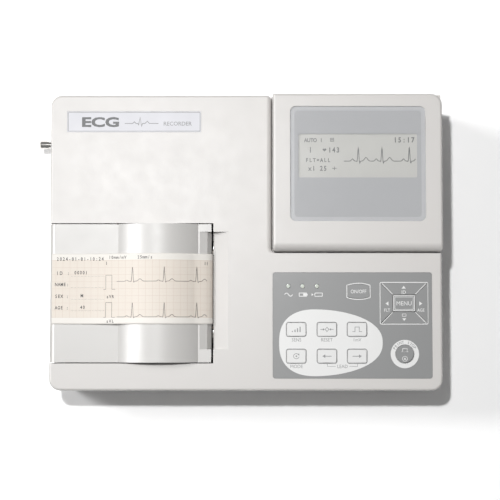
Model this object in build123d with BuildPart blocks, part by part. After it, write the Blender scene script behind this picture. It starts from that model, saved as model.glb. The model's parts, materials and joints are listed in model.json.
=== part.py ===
from build123d import *
import os
from math import acos, atan2, cos, pi, radians, sin, sqrt, tan

# A portable single-channel ECG recorder, in millimetres. X runs along its length, Y from the
# operator (-) to the rear (+), and Z up from the bench. The origin is on the bench, under the
# middle of the whole machine, the earth stud on its left wall included.

# ------------------------------------------------------------------ the case
case_length = 278.0
case_depth = 210.0
stud_reach = 14.0  # how far the earth stud stands out of the left wall
foot_height = 3.0
parting_z = 30.0  # where the two case halves meet
parting_gap = 0.3
deck_z = 60.0
wall = 2.5
corner_radius = 8.0
deck_round = 1.6
side_draft = 2.0  # degrees, on the lower half
bottom_round = 2.5
tongue = 1.2  # the lower half's lip inside the upper one
fit = 0.1  # between fixed pieces that drop into each other

case_left = (stud_reach - case_length) / 2
case_right = case_left + case_length
case_middle = case_left + case_length / 2
case_rear = case_depth / 2
case_front = -case_depth / 2
floor_z = foot_height + wall  # the lower half's inner floor

# ------------------------------------------------------------------ the display pod
pod_rise = 8.0
pod_left = case_left + 158.2
pod_front = -6.8
pod_groove = 1.0  # shadow gap on its left and front
pod_wall = 2.2
pod_front_round = 5.5
pod_edge_round = 1.8
pod_post_radius = 3.4
pod_post_inset = 8.5
shelf_z = 52.0  # the case's ledge that carries the pod
pod_z = deck_z + pod_rise

panel_left = case_left + 170.3
panel_length = 95.8
panel_rear = 95.9
panel_depth = 81.6
panel_radius = 4.0
panel_thickness = 1.1
panel_sink = 0.15  # how far it lies under the pod's face
view_left = case_left + 176.2
view_length = 83.9
view_rear = 76.4
view_depth = 31.1
lcd_sink = 2.3  # the display glass under the pod's face
lcd_glass_thickness = 2.2
lcd_border = 3.5  # glass beyond the viewing area
lcd_frame_wall = 0.8
lcd_board_thickness = 1.6
lcd_board_margin = 7.0

# ------------------------------------------------------------------ the name plate
plate_left = case_left + 11.6
plate_length = 95.4
plate_middle_y = 86.0
plate_depth = 14.8
plate_thickness = 0.6
plate_sink = 0.1

# ------------------------------------------------------------------ the keypad
pad_left = case_left + 158.0
pad_length = 112.7
pad_rear = -21.6
pad_depth = 74.9
pad_radius = 1.8
pad_thickness = 1.0
pad_sink = 0.15
key_gap = 0.25
key_rise = 0.3  # keys stand this far above the overlay
key_travel = 0.35
stem_radius = 1.6
stem_clearance = 0.35
switch_side = 6.0
switch_height = 3.4
plunger_radius = 1.7
plunger_height = 0.7
plunger_gap = 0.05 + key_travel
key_board_thickness = 1.6
key_board_z = 52.2  # its upper face
key_board_inset = (2.5, 5.0)
key_board_post_radius = 2.6

small_key = (13.4, 9.4)  # the six keys on the white field
small_key_radius = 1.3
small_columns = [case_left + 174.6, case_left + 196.3, case_left + 217.6]
small_rows = [-61.9, -80.8]
power_key_at = (case_left + 218.7, -35.0)
power_key_size = (15.6, 10.6)
power_key_bulge = 1.4
cluster_at = (case_left + 250.9, -43.4)
cluster_size = (33.6, 29.0)
menu_size = (16.0, 11.8)
print_key_at = (case_left + 251.2, -79.0)
print_key_radius = 6.4
lamp_at = [(case_left + 169.0, -31.3), (case_left + 179.1, -31.3), (case_left + 189.3, -31.3)]
lamp_radius = 1.5

# ------------------------------------------------------------------ the recorder
cover_length = 114.5
cover_rear = 12.7
cover_front = -85.2
cover_wall = 2.2
cover_gap = 0.7  # round the cover's two long sides
slot_width = 1.4  # the paper slot at its free end
hinge_x = case_left + 6.0
hinge_z = 38.0
hinge_pin_radius = 1.5
running = 0.06
skirt_radius = 6.0  # the rolled lower edge of the cover, round the hinge
skirt_clearance = 0.5
cover_corner = 4.0
bulge_middle = case_left + 76.85
bulge_chord = 56.7
bulge_rise = 9.0
recess_front = -76.0
recess_rear = 7.3
recess_near = case_left + 106.2  # where the finger recess starts on the cover
recess_knee = case_left + 111.6
recess_knee_drop = 1.6
recess_drop = 7.0  # its depth at the slot
recess_far = case_left + 126.5  # and where it ends on the deck

paper_width = 50.0
paper_y = -33.3
paper_thickness = 0.12
roll_radius = 24.0
roll_bore = 6.4
roll_x = bulge_middle
roll_z = 40.0
core_wall = 0.8
spindle_radius = 5.3
spindle_pin_radius = 3.0
cradle_gap = 3.4  # between the roll's end and its cradle
cradle_wall = 2.0

platen_radius = 6.0
platen_x = case_left + 108.6
platen_z = 43.5
platen_length = 54.0
platen_shaft_radius = 2.0
rubber_wall = 2.5
bush_radius = 3.6
bracket_wall = 2.4
bracket_gap = 0.9  # between the platen's end and the cover's bracket

module = 0.5
pressure_angle = radians(20)
backlash = 0.09
pinion_teeth = 18
idler_large_teeth = 45
idler_small_teeth = 18
platen_teeth = 28
gear_width = 3.6
idler_turn = radians(-40)  # direction from the idler to the motor

tub_wall = 2.0
tub_floor_z = 10.0
tub_length = 133.0
plate_gauge = 1.2
motor_radius = 10.0
motor_length = 19.0

head_gap = 0.45  # platen surface to the print head's face
head_thickness = 1.0
heatsink_thickness = 3.6
head_low_z = 36.0
head_high_z = 49.3
pivot_z = 37.0
pivot_radius = 1.5
spring_radius = 2.2
spring_wire = 0.35
spring_turns = 6


def side_plane(y):
    """A plane on which a side view is drawn, X to the right and Z up; it extrudes to the front."""
    return Plane.XZ.offset(-y)


def left_plane(x):
    """A plane on which the left wall is drawn, Y along and Z up; it extrudes towards +X."""
    return Plane(origin=(x, 0, 0), x_dir=(0, 1, 0), z_dir=(1, 0, 0))


def finish(piece, name):
    """Labels a finished piece and writes it to its own file."""
    piece.part.label = name
    export_step(piece.part, f"parts/{name}.step")


def box_between(low, high, mode=Mode.ADD):
    """A box given by its lowest and highest corners."""
    size = [b - a for a, b in zip(low, high)]
    with Locations(tuple(low)):
        Box(*size, align=(Align.MIN, Align.MIN, Align.MIN), mode=mode)


def round_bar(axis_x, axis_z, radius, y_rear, length, mode=Mode.ADD):
    """A cylinder along Y, from y_rear towards the front."""
    with BuildSketch(side_plane(y_rear)) as disc:
        with Locations((axis_x, axis_z)):
            Circle(radius)
    extrude(disc.sketch, amount=length, mode=mode)


os.makedirs("parts", exist_ok=True)

# ================================================================== where the fixings are
foot_places = [
    (case_middle + sx * (case_length / 2 - 24), sy * (case_depth / 2 - 20))
    for sx in (-1, 1)
    for sy in (-1, 1)
]
foot_radius = 8.0
foot_sink = 0.8
case_screw_places = [
    (x, y) for x in (case_left + 9.5, case_middle + 8, case_right - 9.5)
    for y in (case_front + 8.5, case_rear - 8.5)
]
boss_radius = 3.6
screw_radius = 1.4
screw_clearance = 0.15
screw_head_radius = 2.8
screw_head_height = 2.0
boss_join_z = 17.0  # where the lower and the upper boss meet
case_screw_length = 14.0

board_z = 32.0
board_thickness = 1.6
board_left = case_left + 148.0
board_length = 118.0
board_front = -72.0
board_depth = 130.0
board_screw_places = [
    (board_left + dx, board_front + dy)
    for dx in (6.0, board_length - 6.0)
    for dy in (6.0, board_depth - 6.0)
]
board_screw_length = 8.0

battery_middle = (case_left + 205.0, -8.0)
battery_size = (76.0, 67.0, 19.5)
battery_slack = 0.8
bay_wall = 1.8
bay_height = 17.0
door_thickness = 1.8
door_ledge = 2.0
door_gap = 0.3

supply_left = case_left + 26.0
supply_length = 106.0
supply_front = 24.0
supply_depth = 70.0
supply_z = 12.0
supply_screw_places = [
    (supply_left + dx, supply_front + dy)
    for dx in (5.0, supply_length - 5.0)
    for dy in (5.0, supply_depth - 5.0)
]

post_x = [pod_left + pod_post_inset, case_right - pod_post_inset - 11.5]
post_y = [pod_front + pod_post_inset, case_rear - pod_post_inset - 3]
pod_post_places = [(x, y) for x in post_x for y in post_y]
key_board_low = (pad_left + key_board_inset[0], pad_rear - pad_depth + key_board_inset[1])
key_board_high = (pad_left + pad_length - key_board_inset[0], pad_rear - key_board_inset[0])
key_board_post_places = [
    (x, y)
    for x in (key_board_low[0] + 3.2, key_board_high[0] - 3.2)
    for y in (key_board_low[1] + 3.2, key_board_high[1] - 3.0)
]

# ------------------------------------------------------------------ sockets in the walls
socket_z = 17.0
inlet_y = 51.0
inlet_size = (26.6, 19.6)
inlet_flange = (31.0, 22.0)
inlet_mouth = (24.4, 16.4)
inlet_mouth_depth = 15.0
inlet_body_depth = 22.0
rocker_y = 27.0
rocker_frame = (13.0, 19.0)
rocker_window = (9.4, 15.4)
rocker_tilt = 8.0
stud_y = 75.2
stud_radius = 3.0
stud_waist = 2.45
patient_y = 38.0
serial_y = -4.0
signal_y = -36.0
patient_screw_pitch = 33.3
serial_screw_pitch = 25.0
patient_shell = (25.0, 8.4)
serial_shell = (16.9, 8.4)
jack_hole_radius = 1.4
jack_radius = 2.6
signal_radius = 6.5
socket_flange_height = 12.0
socket_sink = 5.8  # how far the sockets' flanges lie behind the case's side

# ================================================================== lower half of the case
tub_left = case_left + wall + tongue + 0.4
tub_right = tub_left + tub_length
tub_rear = cover_rear + cover_gap + 0.3 + tub_wall
tub_front = cover_front - cover_gap - 0.3 - tub_wall
tub_screw_places = [
    (x, y) for x in (tub_left + 22, tub_right - 24) for y in (tub_front + 10, tub_rear - 9)
]

lower_height = parting_z - parting_gap - foot_height
with BuildPart() as bottom_case:
    with BuildSketch(Plane.XY.offset(parting_z - parting_gap)):
        with Locations((case_middle, 0)):
            RectangleRounded(case_length, case_depth, corner_radius)
    extrude(amount=lower_height, dir=(0, 0, -1), taper=side_draft)
    fillet(bottom_case.faces().sort_by(Axis.Z)[0].edges(), bottom_round)
    with BuildSketch(Plane.XY.offset(parting_z - parting_gap)):
        with Locations((case_middle, 0)):
            RectangleRounded(case_length - 2 * wall, case_depth - 2 * wall, corner_radius - wall)
    extrude(amount=lower_height - wall, dir=(0, 0, -1), taper=side_draft, mode=Mode.SUBTRACT)
    # lip inside the upper half
    with BuildSketch(Plane.XY.offset(parting_z - parting_gap - 3)):
        with Locations((case_middle, 0)):
            inner = wall + fit
            RectangleRounded(case_length - 2 * inner, case_depth - 2 * inner, corner_radius - inner)
            inner += tongue
            RectangleRounded(
                case_length - 2 * inner, case_depth - 2 * inner, corner_radius - inner,
                mode=Mode.SUBTRACT,
            )
    extrude(amount=3 + 1.2)
    # bosses for the case screws, the boards and the recorder tub
    with BuildSketch(Plane.XY.offset(floor_z - 0.5)):
        with Locations(*case_screw_places):
            Circle(boss_radius + 1)
    extrude(amount=boss_join_z - floor_z + 0.5)
    with BuildSketch(Plane.XY.offset(floor_z - 0.5)):
        with Locations(*board_screw_places):
            Circle(boss_radius)
    extrude(amount=board_z - floor_z + 0.5)
    with BuildSketch(Plane.XY.offset(floor_z - 0.5)):
        with Locations(*supply_screw_places):
            Circle(boss_radius)
    extrude(amount=supply_z - floor_z + 0.5)
    with BuildSketch(Plane.XY.offset(floor_z - 0.5)):
        with Locations(*tub_screw_places):
            Circle(boss_radius)
    extrude(amount=tub_floor_z - tub_wall - floor_z + 0.5)
    # battery bay
    with BuildSketch(Plane.XY.offset(floor_z - 0.5)):
        with Locations(battery_middle):
            bay_x = battery_size[0] + 2 * battery_slack
            bay_y = battery_size[1] + 2 * battery_slack
            RectangleRounded(bay_x + 2 * bay_wall, bay_y + 2 * bay_wall, 3)
            RectangleRounded(bay_x, bay_y, 1.2, mode=Mode.SUBTRACT)
    extrude(amount=bay_height + 0.5)
    with BuildSketch(Plane.XY.offset(foot_height)):
        with Locations(battery_middle):
            RectangleRounded(bay_x, bay_y, 1.2)
    extrude(amount=wall, mode=Mode.SUBTRACT)
    with BuildSketch(Plane.XY.offset(foot_height)):
        with Locations(battery_middle):
            RectangleRounded(bay_x + 2 * door_ledge + 8, bay_y + 2 * door_ledge, 2)
    extrude(amount=door_thickness + 0.1, mode=Mode.SUBTRACT)
    # screw passages
    with BuildSketch(Plane.XY.offset(foot_height)):
        with Locations(*case_screw_places):
            Circle(screw_radius + screw_clearance)
    extrude(amount=boss_join_z - foot_height, mode=Mode.SUBTRACT)
    with BuildSketch(Plane.XY.offset(foot_height)):
        with Locations(*case_screw_places):
            Circle(screw_head_radius + 0.3)
    extrude(amount=screw_head_height + 2.5, mode=Mode.SUBTRACT)
    with BuildSketch(Plane.XY.offset(board_z - board_screw_length)):
        with Locations(*board_screw_places):
            Circle(screw_radius + fit)
    extrude(amount=board_screw_length, mode=Mode.SUBTRACT)
    with BuildSketch(Plane.XY.offset(floor_z)):
        with Locations(*supply_screw_places, *tub_screw_places):
            Circle(screw_radius + fit)
    extrude(amount=supply_z - floor_z, mode=Mode.SUBTRACT)
    # foot sockets
    with BuildSketch(Plane.XY.offset(foot_height)):
        with Locations(*foot_places):
            Circle(foot_radius + fit)
    extrude(amount=foot_sink, mode=Mode.SUBTRACT)
    # cooling slots under the power supply
    with BuildSketch(Plane.XY.offset(foot_height)):
        with Locations((supply_left + supply_length / 2, supply_front + supply_depth / 2 - 6)):
            with GridLocations(9, 0, 8, 1):
                SlotOverall(36, 3, rotation=90)
    extrude(amount=wall, mode=Mode.SUBTRACT)
    # speaker slots, under the front of the main board
    with BuildSketch(Plane.XY.offset(foot_height)):
        with Locations((case_right - 40, -76)):
            with GridLocations(5, 0, 6, 1):
                SlotOverall(20, 2.2, rotation=90)
    extrude(amount=wall, mode=Mode.SUBTRACT)
    # openings in the left wall: mains inlet, mains switch, earth stud
    with BuildSketch(left_plane(case_left - 1)):
        with Locations((inlet_y, socket_z)):
            RectangleRounded(inlet_size[0] + 2 * fit, inlet_size[1] + 2 * fit, 1.5)
        with Locations((rocker_y, socket_z)):
            Rectangle(rocker_frame[0] + 2 * fit, rocker_frame[1] + 2 * fit)
        with Locations((stud_y, socket_z)):
            Circle(stud_radius + 0.15)
    extrude(amount=wall + 3, mode=Mode.SUBTRACT)
    # openings in the right wall: patient cable, serial and signal sockets
    with BuildSketch(left_plane(case_right - wall - 3)):
        with Locations((patient_y, socket_z)):
            RectangleRounded(patient_screw_pitch + 8.4, socket_flange_height + 1.4, 1.5)
        with Locations((serial_y, socket_z)):
            RectangleRounded(serial_screw_pitch + 8.4, socket_flange_height + 1.4, 1.5)
        with Locations((signal_y, socket_z)):
            Circle(signal_radius + 0.3)
    extrude(amount=wall + 5, mode=Mode.SUBTRACT)
finish(bottom_case, "bottom_case")

# ================================================================== upper half of the case
slot_far = case_left + cover_length + slot_width
tray_under = recess_drop + 2.2
with BuildPart() as top_case:
    with BuildSketch(Plane.XY.offset(parting_z)):
        with Locations((case_middle, 0)):
            RectangleRounded(case_length, case_depth, corner_radius)
    extrude(amount=deck_z - parting_z)
    fillet(top_case.faces().sort_by(Axis.Z)[-1].edges(), deck_round)
    # the corner that the display pod drops into
    box_between(
        (pod_left - pod_groove, pod_front - pod_groove, shelf_z),
        (case_right + 5, case_rear + 5, deck_z + 5), mode=Mode.SUBTRACT,
    )
    fillet(
        top_case.edges().filter_by(Axis.Z).filter_by_position(
            Axis.X, pod_left - pod_groove - 0.1, pod_left - pod_groove + 0.1
        ), 3.4,
    )
    # hollow, up to the ledge first and then under the deck
    with BuildSketch(Plane.XY.offset(parting_z)):
        with Locations((case_middle, 0)):
            RectangleRounded(case_length - 2 * wall, case_depth - 2 * wall, corner_radius - wall)
    extrude(amount=shelf_z - wall - parting_z, mode=Mode.SUBTRACT)
    with BuildSketch(Plane.XY.offset(shelf_z - wall)):
        with Locations((case_middle, 0)):
            RectangleRounded(case_length - 2 * wall, case_depth - 2 * wall, corner_radius - wall)
        with Locations((pod_left - pod_groove - wall, pod_front - pod_groove - wall)):
            Rectangle(
                case_length, case_depth, align=(Align.MIN, Align.MIN), mode=Mode.SUBTRACT
            )
    extrude(amount=deck_z - shelf_z, mode=Mode.SUBTRACT)
    # tray under the deck half of the finger recess
    with BuildSketch(side_plane(recess_rear + 2)):
        with BuildLine():
            Polyline(
                (slot_far, deck_z - 1), (slot_far, deck_z - tray_under),
                (recess_far + 1.2, deck_z - wall - 0.2), (recess_far + 1.2, deck_z - 1), close=True,
            )
        make_face()
    extrude(amount=recess_rear - recess_front + 4)
    with BuildSketch(side_plane(recess_rear)):
        with BuildLine():
            Polyline(
                (slot_far, deck_z + 1), (slot_far, deck_z - recess_drop),
                (recess_far, deck_z), (recess_far, deck_z + 1), close=True,
            )
        make_face()
    extrude(amount=recess_rear - recess_front, mode=Mode.SUBTRACT)
    # opening for the recorder cover, down the left wall to the hinge
    box_between(
        (case_left - 5, cover_front - cover_gap, hinge_z - skirt_radius - skirt_clearance),
        (slot_far, cover_rear + cover_gap, deck_z + 5), mode=Mode.SUBTRACT,
    )
    # recess of the name plate
    with BuildSketch(Plane.XY.offset(deck_z - plate_thickness - plate_sink)):
        with Locations((plate_left + plate_length / 2, plate_middle_y)):
            RectangleRounded(plate_length + 2 * fit, plate_depth + 2 * fit, 0.4 + fit)
    extrude(amount=plate_thickness + plate_sink + 1, mode=Mode.SUBTRACT)
    # recess of the keypad, and its holes
    with BuildSketch(Plane.XY.offset(deck_z - pad_thickness - pad_sink)):
        with Locations((pad_left + pad_length / 2, pad_rear - pad_depth / 2)):
            RectangleRounded(pad_length + 2 * fit, pad_depth + 2 * fit, pad_radius + fit)
    extrude(amount=pad_thickness + pad_sink + 1, mode=Mode.SUBTRACT)
    cluster_reach_x = (cluster_size[0] + menu_size[0]) / 4
    cluster_reach_y = (cluster_size[1] + menu_size[1]) / 4
    key_places = {
        "key_sens": (small_columns[0], small_rows[0]),
        "key_reset": (small_columns[1], small_rows[0]),
        "key_calibrate": (small_columns[2], small_rows[0]),
        "key_mode": (small_columns[0], small_rows[1]),
        "key_lead_back": (small_columns[1], small_rows[1]),
        "key_lead_next": (small_columns[2], small_rows[1]),
        "key_on_off": power_key_at,
        "key_menu": cluster_at,
        "key_up": (cluster_at[0], cluster_at[1] + cluster_reach_y),
        "key_down": (cluster_at[0], cluster_at[1] - cluster_reach_y),
        "key_left": (cluster_at[0] - cluster_reach_x, cluster_at[1]),
        "key_right": (cluster_at[0] + cluster_reach_x, cluster_at[1]),
        "key_print_stop": print_key_at,
    }
    with BuildSketch(Plane.XY.offset(deck_z - wall)):
        with Locations(*key_places.values()):
            Circle(stem_radius + stem_clearance)
        with Locations(*lamp_at):
            Circle(lamp_radius + fit)
    extrude(amount=wall, mode=Mode.SUBTRACT)
    # posts for the key board, and holes for the screws that hold the pod
    with BuildSketch(Plane.XY.offset(key_board_z)):
        with Locations(*key_board_post_places):
            Circle(key_board_post_radius)
    extrude(amount=deck_z - wall / 2 - 0.2 - pad_thickness / 2 - key_board_z)
    with BuildSketch(Plane.XY.offset(key_board_z)):
        with Locations(*key_board_post_places):
            Circle(screw_radius + fit)
    extrude(amount=4.5, mode=Mode.SUBTRACT)
    with BuildSketch(Plane.XY.offset(shelf_z - wall)):
        with Locations(*pod_post_places):
            Circle(screw_radius + screw_clearance)
    extrude(amount=wall, mode=Mode.SUBTRACT)
    # window in the ledge for the display
    with BuildSketch(Plane.XY.offset(shelf_z - wall)):
        with Locations((view_left + view_length / 2, view_rear - view_depth / 2)):
            RectangleRounded(view_length + 24, view_depth + 34, 3)
    extrude(amount=wall, mode=Mode.SUBTRACT)
    # bosses that take the case screws
    with BuildSketch(Plane.XY.offset(boss_join_z)):
        with Locations(*case_screw_places):
            Circle(boss_radius)
    extrude(amount=shelf_z - wall / 2 - boss_join_z)
    with BuildSketch(Plane.XY.offset(shelf_z - wall)):
        with Locations(*[place for place in case_screw_places if place[0] < pod_left or place[1] < 0]):
            Circle(boss_radius)
    extrude(amount=deck_z - wall / 2 - shelf_z + wall)
    with BuildSketch(Plane.XY.offset(boss_join_z)):
        with Locations(*case_screw_places):
            Circle(screw_radius + fit)
    extrude(amount=case_screw_length, mode=Mode.SUBTRACT)
finish(top_case, "top_case")

# ================================================================== display pod
pod_length = case_right - pod_left
view_middle = (view_left + view_length / 2, view_rear - view_depth / 2)
lcd_size = (view_length + 2 * lcd_border, view_depth + 2 * lcd_border)
lcd_top = pod_z - lcd_sink
lcd_board_top = lcd_top - lcd_glass_thickness - fit
lcd_post_places = [
    (view_middle[0] + sx * (lcd_size[0] / 2 + 4), view_middle[1] + sy * (lcd_size[1] / 2 + 4))
    for sx in (-1, 1)
    for sy in (-1, 1)
]


def pod_profile(inset):
    """The pod's side view, seen along X: flat, with a wide round over its front edge."""
    low, high = pod_front + inset, case_rear - inset
    top, bend = pod_z - inset, pod_front_round - inset
    with BuildLine() as outline:
        Line((low, shelf_z), (low, top - bend))
        RadiusArc((low, top - bend), (low + bend, top), bend)
        Line((low + bend, top), (high, top))
        Line((high, top), (high, shelf_z))
        Line((high, shelf_z), (low, shelf_z))
    make_face(outline.edges())


with BuildPart() as display_housing:
    with BuildSketch(left_plane(pod_left)):
        pod_profile(0)
    extrude(amount=pod_length)
    upright = display_housing.edges().filter_by(Axis.Z)
    fillet(upright.group_by(Axis.X)[-1].group_by(Axis.Y)[-1], corner_radius)
    top_edges = display_housing.faces().sort_by(Axis.Z)[-1].edges()
    front_bend = display_housing.edges().filter_by(GeomType.CIRCLE).group_by(Axis.Y)[0]
    front_uprights = display_housing.edges().filter_by(Axis.Z).group_by(Axis.Y)[0]
    crease = top_edges.filter_by(Axis.X).sort_by(Axis.Y)[0]
    rim = [edge for edge in top_edges if edge != crease]
    fillet(rim + list(front_bend) + list(front_uprights), pod_edge_round)
    with BuildSketch(left_plane(pod_left + pod_wall)):
        pod_profile(pod_wall)
    extrude(amount=pod_length - 2 * pod_wall, mode=Mode.SUBTRACT)
    # rounded inner corner, behind the case's own
    with BuildSketch(Plane.XY.offset(shelf_z)):
        with Locations((case_right - corner_radius, case_rear - corner_radius)):
            Rectangle(
                corner_radius - pod_wall / 2, corner_radius - pod_wall / 2,
                align=(Align.MIN, Align.MIN),
            )
            Circle(corner_radius - pod_wall, mode=Mode.SUBTRACT)
    extrude(amount=pod_rise + deck_z - shelf_z - pod_wall / 2)
    # posts for the screws from the case's ledge, and for the display board
    with BuildSketch(Plane.XY.offset(shelf_z)):
        with Locations(*pod_post_places):
            Circle(pod_post_radius)
    extrude(amount=pod_z - pod_wall / 2 - shelf_z - panel_thickness)
    with BuildSketch(Plane.XY.offset(lcd_board_top)):
        with Locations(*lcd_post_places):
            Circle(2.4)
    extrude(amount=pod_z - pod_wall / 2 - lcd_board_top - panel_thickness)
    with BuildSketch(Plane.XY.offset(shelf_z)):
        with Locations(*pod_post_places):
            Circle(screw_radius + fit)
    extrude(amount=9, mode=Mode.SUBTRACT)
    with BuildSketch(Plane.XY.offset(lcd_board_top)):
        with Locations(*lcd_post_places):
            Circle(screw_radius + fit)
    extrude(amount=2.2, mode=Mode.SUBTRACT)
    # seat of the lens, and the window through it
    with BuildSketch(Plane.XY.offset(pod_z - panel_sink - panel_thickness)):
        with Locations((panel_left + panel_length / 2, panel_rear - panel_depth / 2)):
            RectangleRounded(panel_length + 2 * fit, panel_depth + 2 * fit, panel_radius + fit)
    extrude(amount=panel_thickness + panel_sink + 1, mode=Mode.SUBTRACT)
    with BuildSketch(Plane.XY.offset(pod_z - pod_wall - 1)):
        with Locations(view_middle):
            Rectangle(view_length + 1, view_depth + 1)
    extrude(amount=pod_wall + 1, mode=Mode.SUBTRACT)
finish(display_housing, "display_housing")

with BuildPart() as display_lens:
    with BuildSketch(Plane.XY.offset(pod_z - panel_sink - panel_thickness)):
        with Locations((panel_left + panel_length / 2, panel_rear - panel_depth / 2)):
            RectangleRounded(panel_length, panel_depth, panel_radius)
    extrude(amount=panel_thickness)
    chamfer(display_lens.faces().sort_by(Axis.Z)[-1].edges(), 0.2)
finish(display_lens, "display_lens")

with BuildPart() as lcd_glass:
    with BuildSketch(Plane.XY.offset(lcd_top - lcd_glass_thickness)):
        with Locations(view_middle):
            Rectangle(*lcd_size)
    extrude(amount=lcd_glass_thickness)
finish(lcd_glass, "lcd_glass")

with BuildPart() as lcd_frame:
    with BuildSketch(Plane.XY.offset(lcd_top - lcd_glass_thickness)):
        with Locations(view_middle):
            ring = 2 * (fit + lcd_frame_wall)
            RectangleRounded(lcd_size[0] + ring, lcd_size[1] + ring, 0.8)
            Rectangle(lcd_size[0] + 2 * fit, lcd_size[1] + 2 * fit, mode=Mode.SUBTRACT)
    extrude(amount=lcd_glass_thickness)
finish(lcd_frame, "lcd_frame")

with BuildPart() as lcd_board:
    with BuildSketch(Plane.XY.offset(lcd_board_top - lcd_board_thickness)):
        with Locations(view_middle):
            Rectangle(lcd_size[0] + 2 * lcd_board_margin, lcd_size[1] + 2 * lcd_board_margin)
        with Locations(*lcd_post_places):
            Circle(screw_radius + screw_clearance, mode=Mode.SUBTRACT)
    extrude(amount=lcd_board_thickness)
finish(lcd_board, "lcd_board")

# ================================================================== name plate
with BuildPart() as nameplate:
    with BuildSketch(Plane.XY.offset(deck_z - plate_sink - plate_thickness)):
        with Locations((plate_left + plate_length / 2, plate_middle_y)):
            RectangleRounded(plate_length, plate_depth, 0.4)
    extrude(amount=plate_thickness)
finish(nameplate, "nameplate")


# ================================================================== keypad
def arrow_key(side):
    """Corners of one of the four keys round the menu key, from its diagonals."""
    far_x, far_y = cluster_size[0] / 2, cluster_size[1] / 2
    near_x, near_y = menu_size[0] / 2, menu_size[1] / 2
    corners = {
        "up": [(-far_x, far_y), (far_x, far_y), (near_x, near_y), (-near_x, near_y)],
        "down": [(-far_x, -far_y), (far_x, -far_y), (near_x, -near_y), (-near_x, -near_y)],
        "left": [(-far_x, far_y), (-far_x, -far_y), (-near_x, -near_y), (-near_x, near_y)],
        "right": [(far_x, far_y), (far_x, -far_y), (near_x, -near_y), (near_x, near_y)],
    }
    return [(cluster_at[0] + x, cluster_at[1] + y) for x, y in corners[side]]


def key_face(name, grow):
    """A key's outline, or with grow its opening in the overlay."""
    side = name.removeprefix("key_")
    if side in ("up", "down", "left", "right"):
        with BuildLine() as outline:
            Polyline(*arrow_key(side), close=True)
        make_face(outline.edges())
        offset(amount=-key_gap / 2, kind=Kind.INTERSECTION, mode=Mode.REPLACE)
    elif name == "key_menu":
        with Locations(cluster_at):
            Rectangle(menu_size[0] - key_gap, menu_size[1] - key_gap)
    elif name == "key_print_stop":
        with Locations(print_key_at):
            Circle(print_key_radius + grow)
    elif name == "key_on_off":
        half_x, half_y = power_key_size[0] / 2 + grow, power_key_size[1] / 2 + grow
        shoulder = half_y - power_key_bulge
        across, up = power_key_at
        with BuildLine() as outline:
            Line((across - half_x, up - shoulder), (across - half_x, up + shoulder))
            ThreePointArc(
                (across - half_x, up + shoulder), (across, up + half_y), (across + half_x, up + shoulder)
            )
            Line((across + half_x, up + shoulder), (across + half_x, up - shoulder))
            ThreePointArc(
                (across + half_x, up - shoulder), (across, up - half_y), (across - half_x, up - shoulder)
            )
        make_face(outline.edges())
    else:
        with Locations(key_places[name]):
            RectangleRounded(
                small_key[0] + 2 * grow, small_key[1] + 2 * grow, small_key_radius + grow
            )


pad_top = deck_z - pad_sink
pad_bottom = pad_top - pad_thickness
with BuildPart() as keypad_overlay:
    with BuildSketch(Plane.XY.offset(pad_bottom)):
        with Locations((pad_left + pad_length / 2, pad_rear - pad_depth / 2)):
            RectangleRounded(pad_length, pad_depth, pad_radius)
    extrude(amount=pad_thickness)
    for name in key_places:
        if name in ("key_up", "key_down", "key_left", "key_right", "key_menu"):
            continue
        with BuildSketch(Plane.XY.offset(pad_bottom)):
            key_face(name, key_gap)
        extrude(amount=pad_thickness, mode=Mode.SUBTRACT)
    with BuildSketch(Plane.XY.offset(pad_bottom)):
        with Locations(cluster_at):
            Rectangle(cluster_size[0] + key_gap, cluster_size[1] + key_gap)
        with Locations(*lamp_at):
            Circle(lamp_radius + fit)
    extrude(amount=pad_thickness, mode=Mode.SUBTRACT)
finish(keypad_overlay, "keypad_overlay")

stem_end = key_board_z + switch_height + plunger_gap
cap_bottom = pad_bottom + key_travel + 0.05
for name, place in key_places.items():
    with BuildPart() as key:
        with BuildSketch(Plane.XY.offset(cap_bottom)):
            key_face(name, 0)
        extrude(amount=pad_top + key_rise - cap_bottom)
        chamfer(key.faces().sort_by(Axis.Z)[-1].edges(), 0.2)
        with BuildSketch(Plane.XY.offset(stem_end)):
            with Locations(place):
                Circle(stem_radius)
        extrude(amount=cap_bottom - stem_end)
    finish(key, name)

with BuildPart() as keypad_board:
    box_between(
        (*key_board_low, key_board_z - key_board_thickness), (*key_board_high, key_board_z)
    )
    with BuildSketch(Plane.XY.offset(key_board_z - key_board_thickness)):
        with Locations(*key_board_post_places):
            Circle(screw_radius + screw_clearance)
    extrude(amount=key_board_thickness, mode=Mode.SUBTRACT)
finish(keypad_board, "keypad_board")

with BuildPart() as key_switches:
    with Locations(*[(x, y, key_board_z) for x, y in key_places.values()]):
        body_height = switch_height - plunger_height
        lift = (Align.CENTER, Align.CENTER, Align.MIN)
        Box(switch_side, switch_side, body_height, align=lift)
        with Locations((0, 0, body_height)):
            Cylinder(plunger_radius, plunger_height, align=lift)
finish(key_switches, "key_switches")

with BuildPart() as indicator_lamps:
    with BuildSketch(Plane.XY.offset(key_board_z)):
        with Locations(*lamp_at):
            Circle(lamp_radius)
    extrude(amount=pad_top + 0.1 - key_board_z)
    domes = indicator_lamps.faces().filter_by(Axis.Z).group_by(Axis.Z)[-1].edges()
    fillet(domes, 0.5)
finish(indicator_lamps, "indicator_lamps")

# ================================================================== recorder tub
cover_middle_y = (cover_front + cover_rear) / 2
ear_width = 8.0
ear_spacing = 66.0
ear_radius = 5.6
ear_gap = 0.4
ear_places = [cover_middle_y + side * ear_spacing / 2 for side in (-1, 1)]
tub_low_wall_z = hinge_z - skirt_radius - skirt_clearance - 0.5
tub_top_z = deck_z - wall - 0.3
paper_rear = paper_y + paper_width / 2
paper_front = paper_y - paper_width / 2
cradle_half = 9.0
cradle_top = roll_z + 8.0

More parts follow.
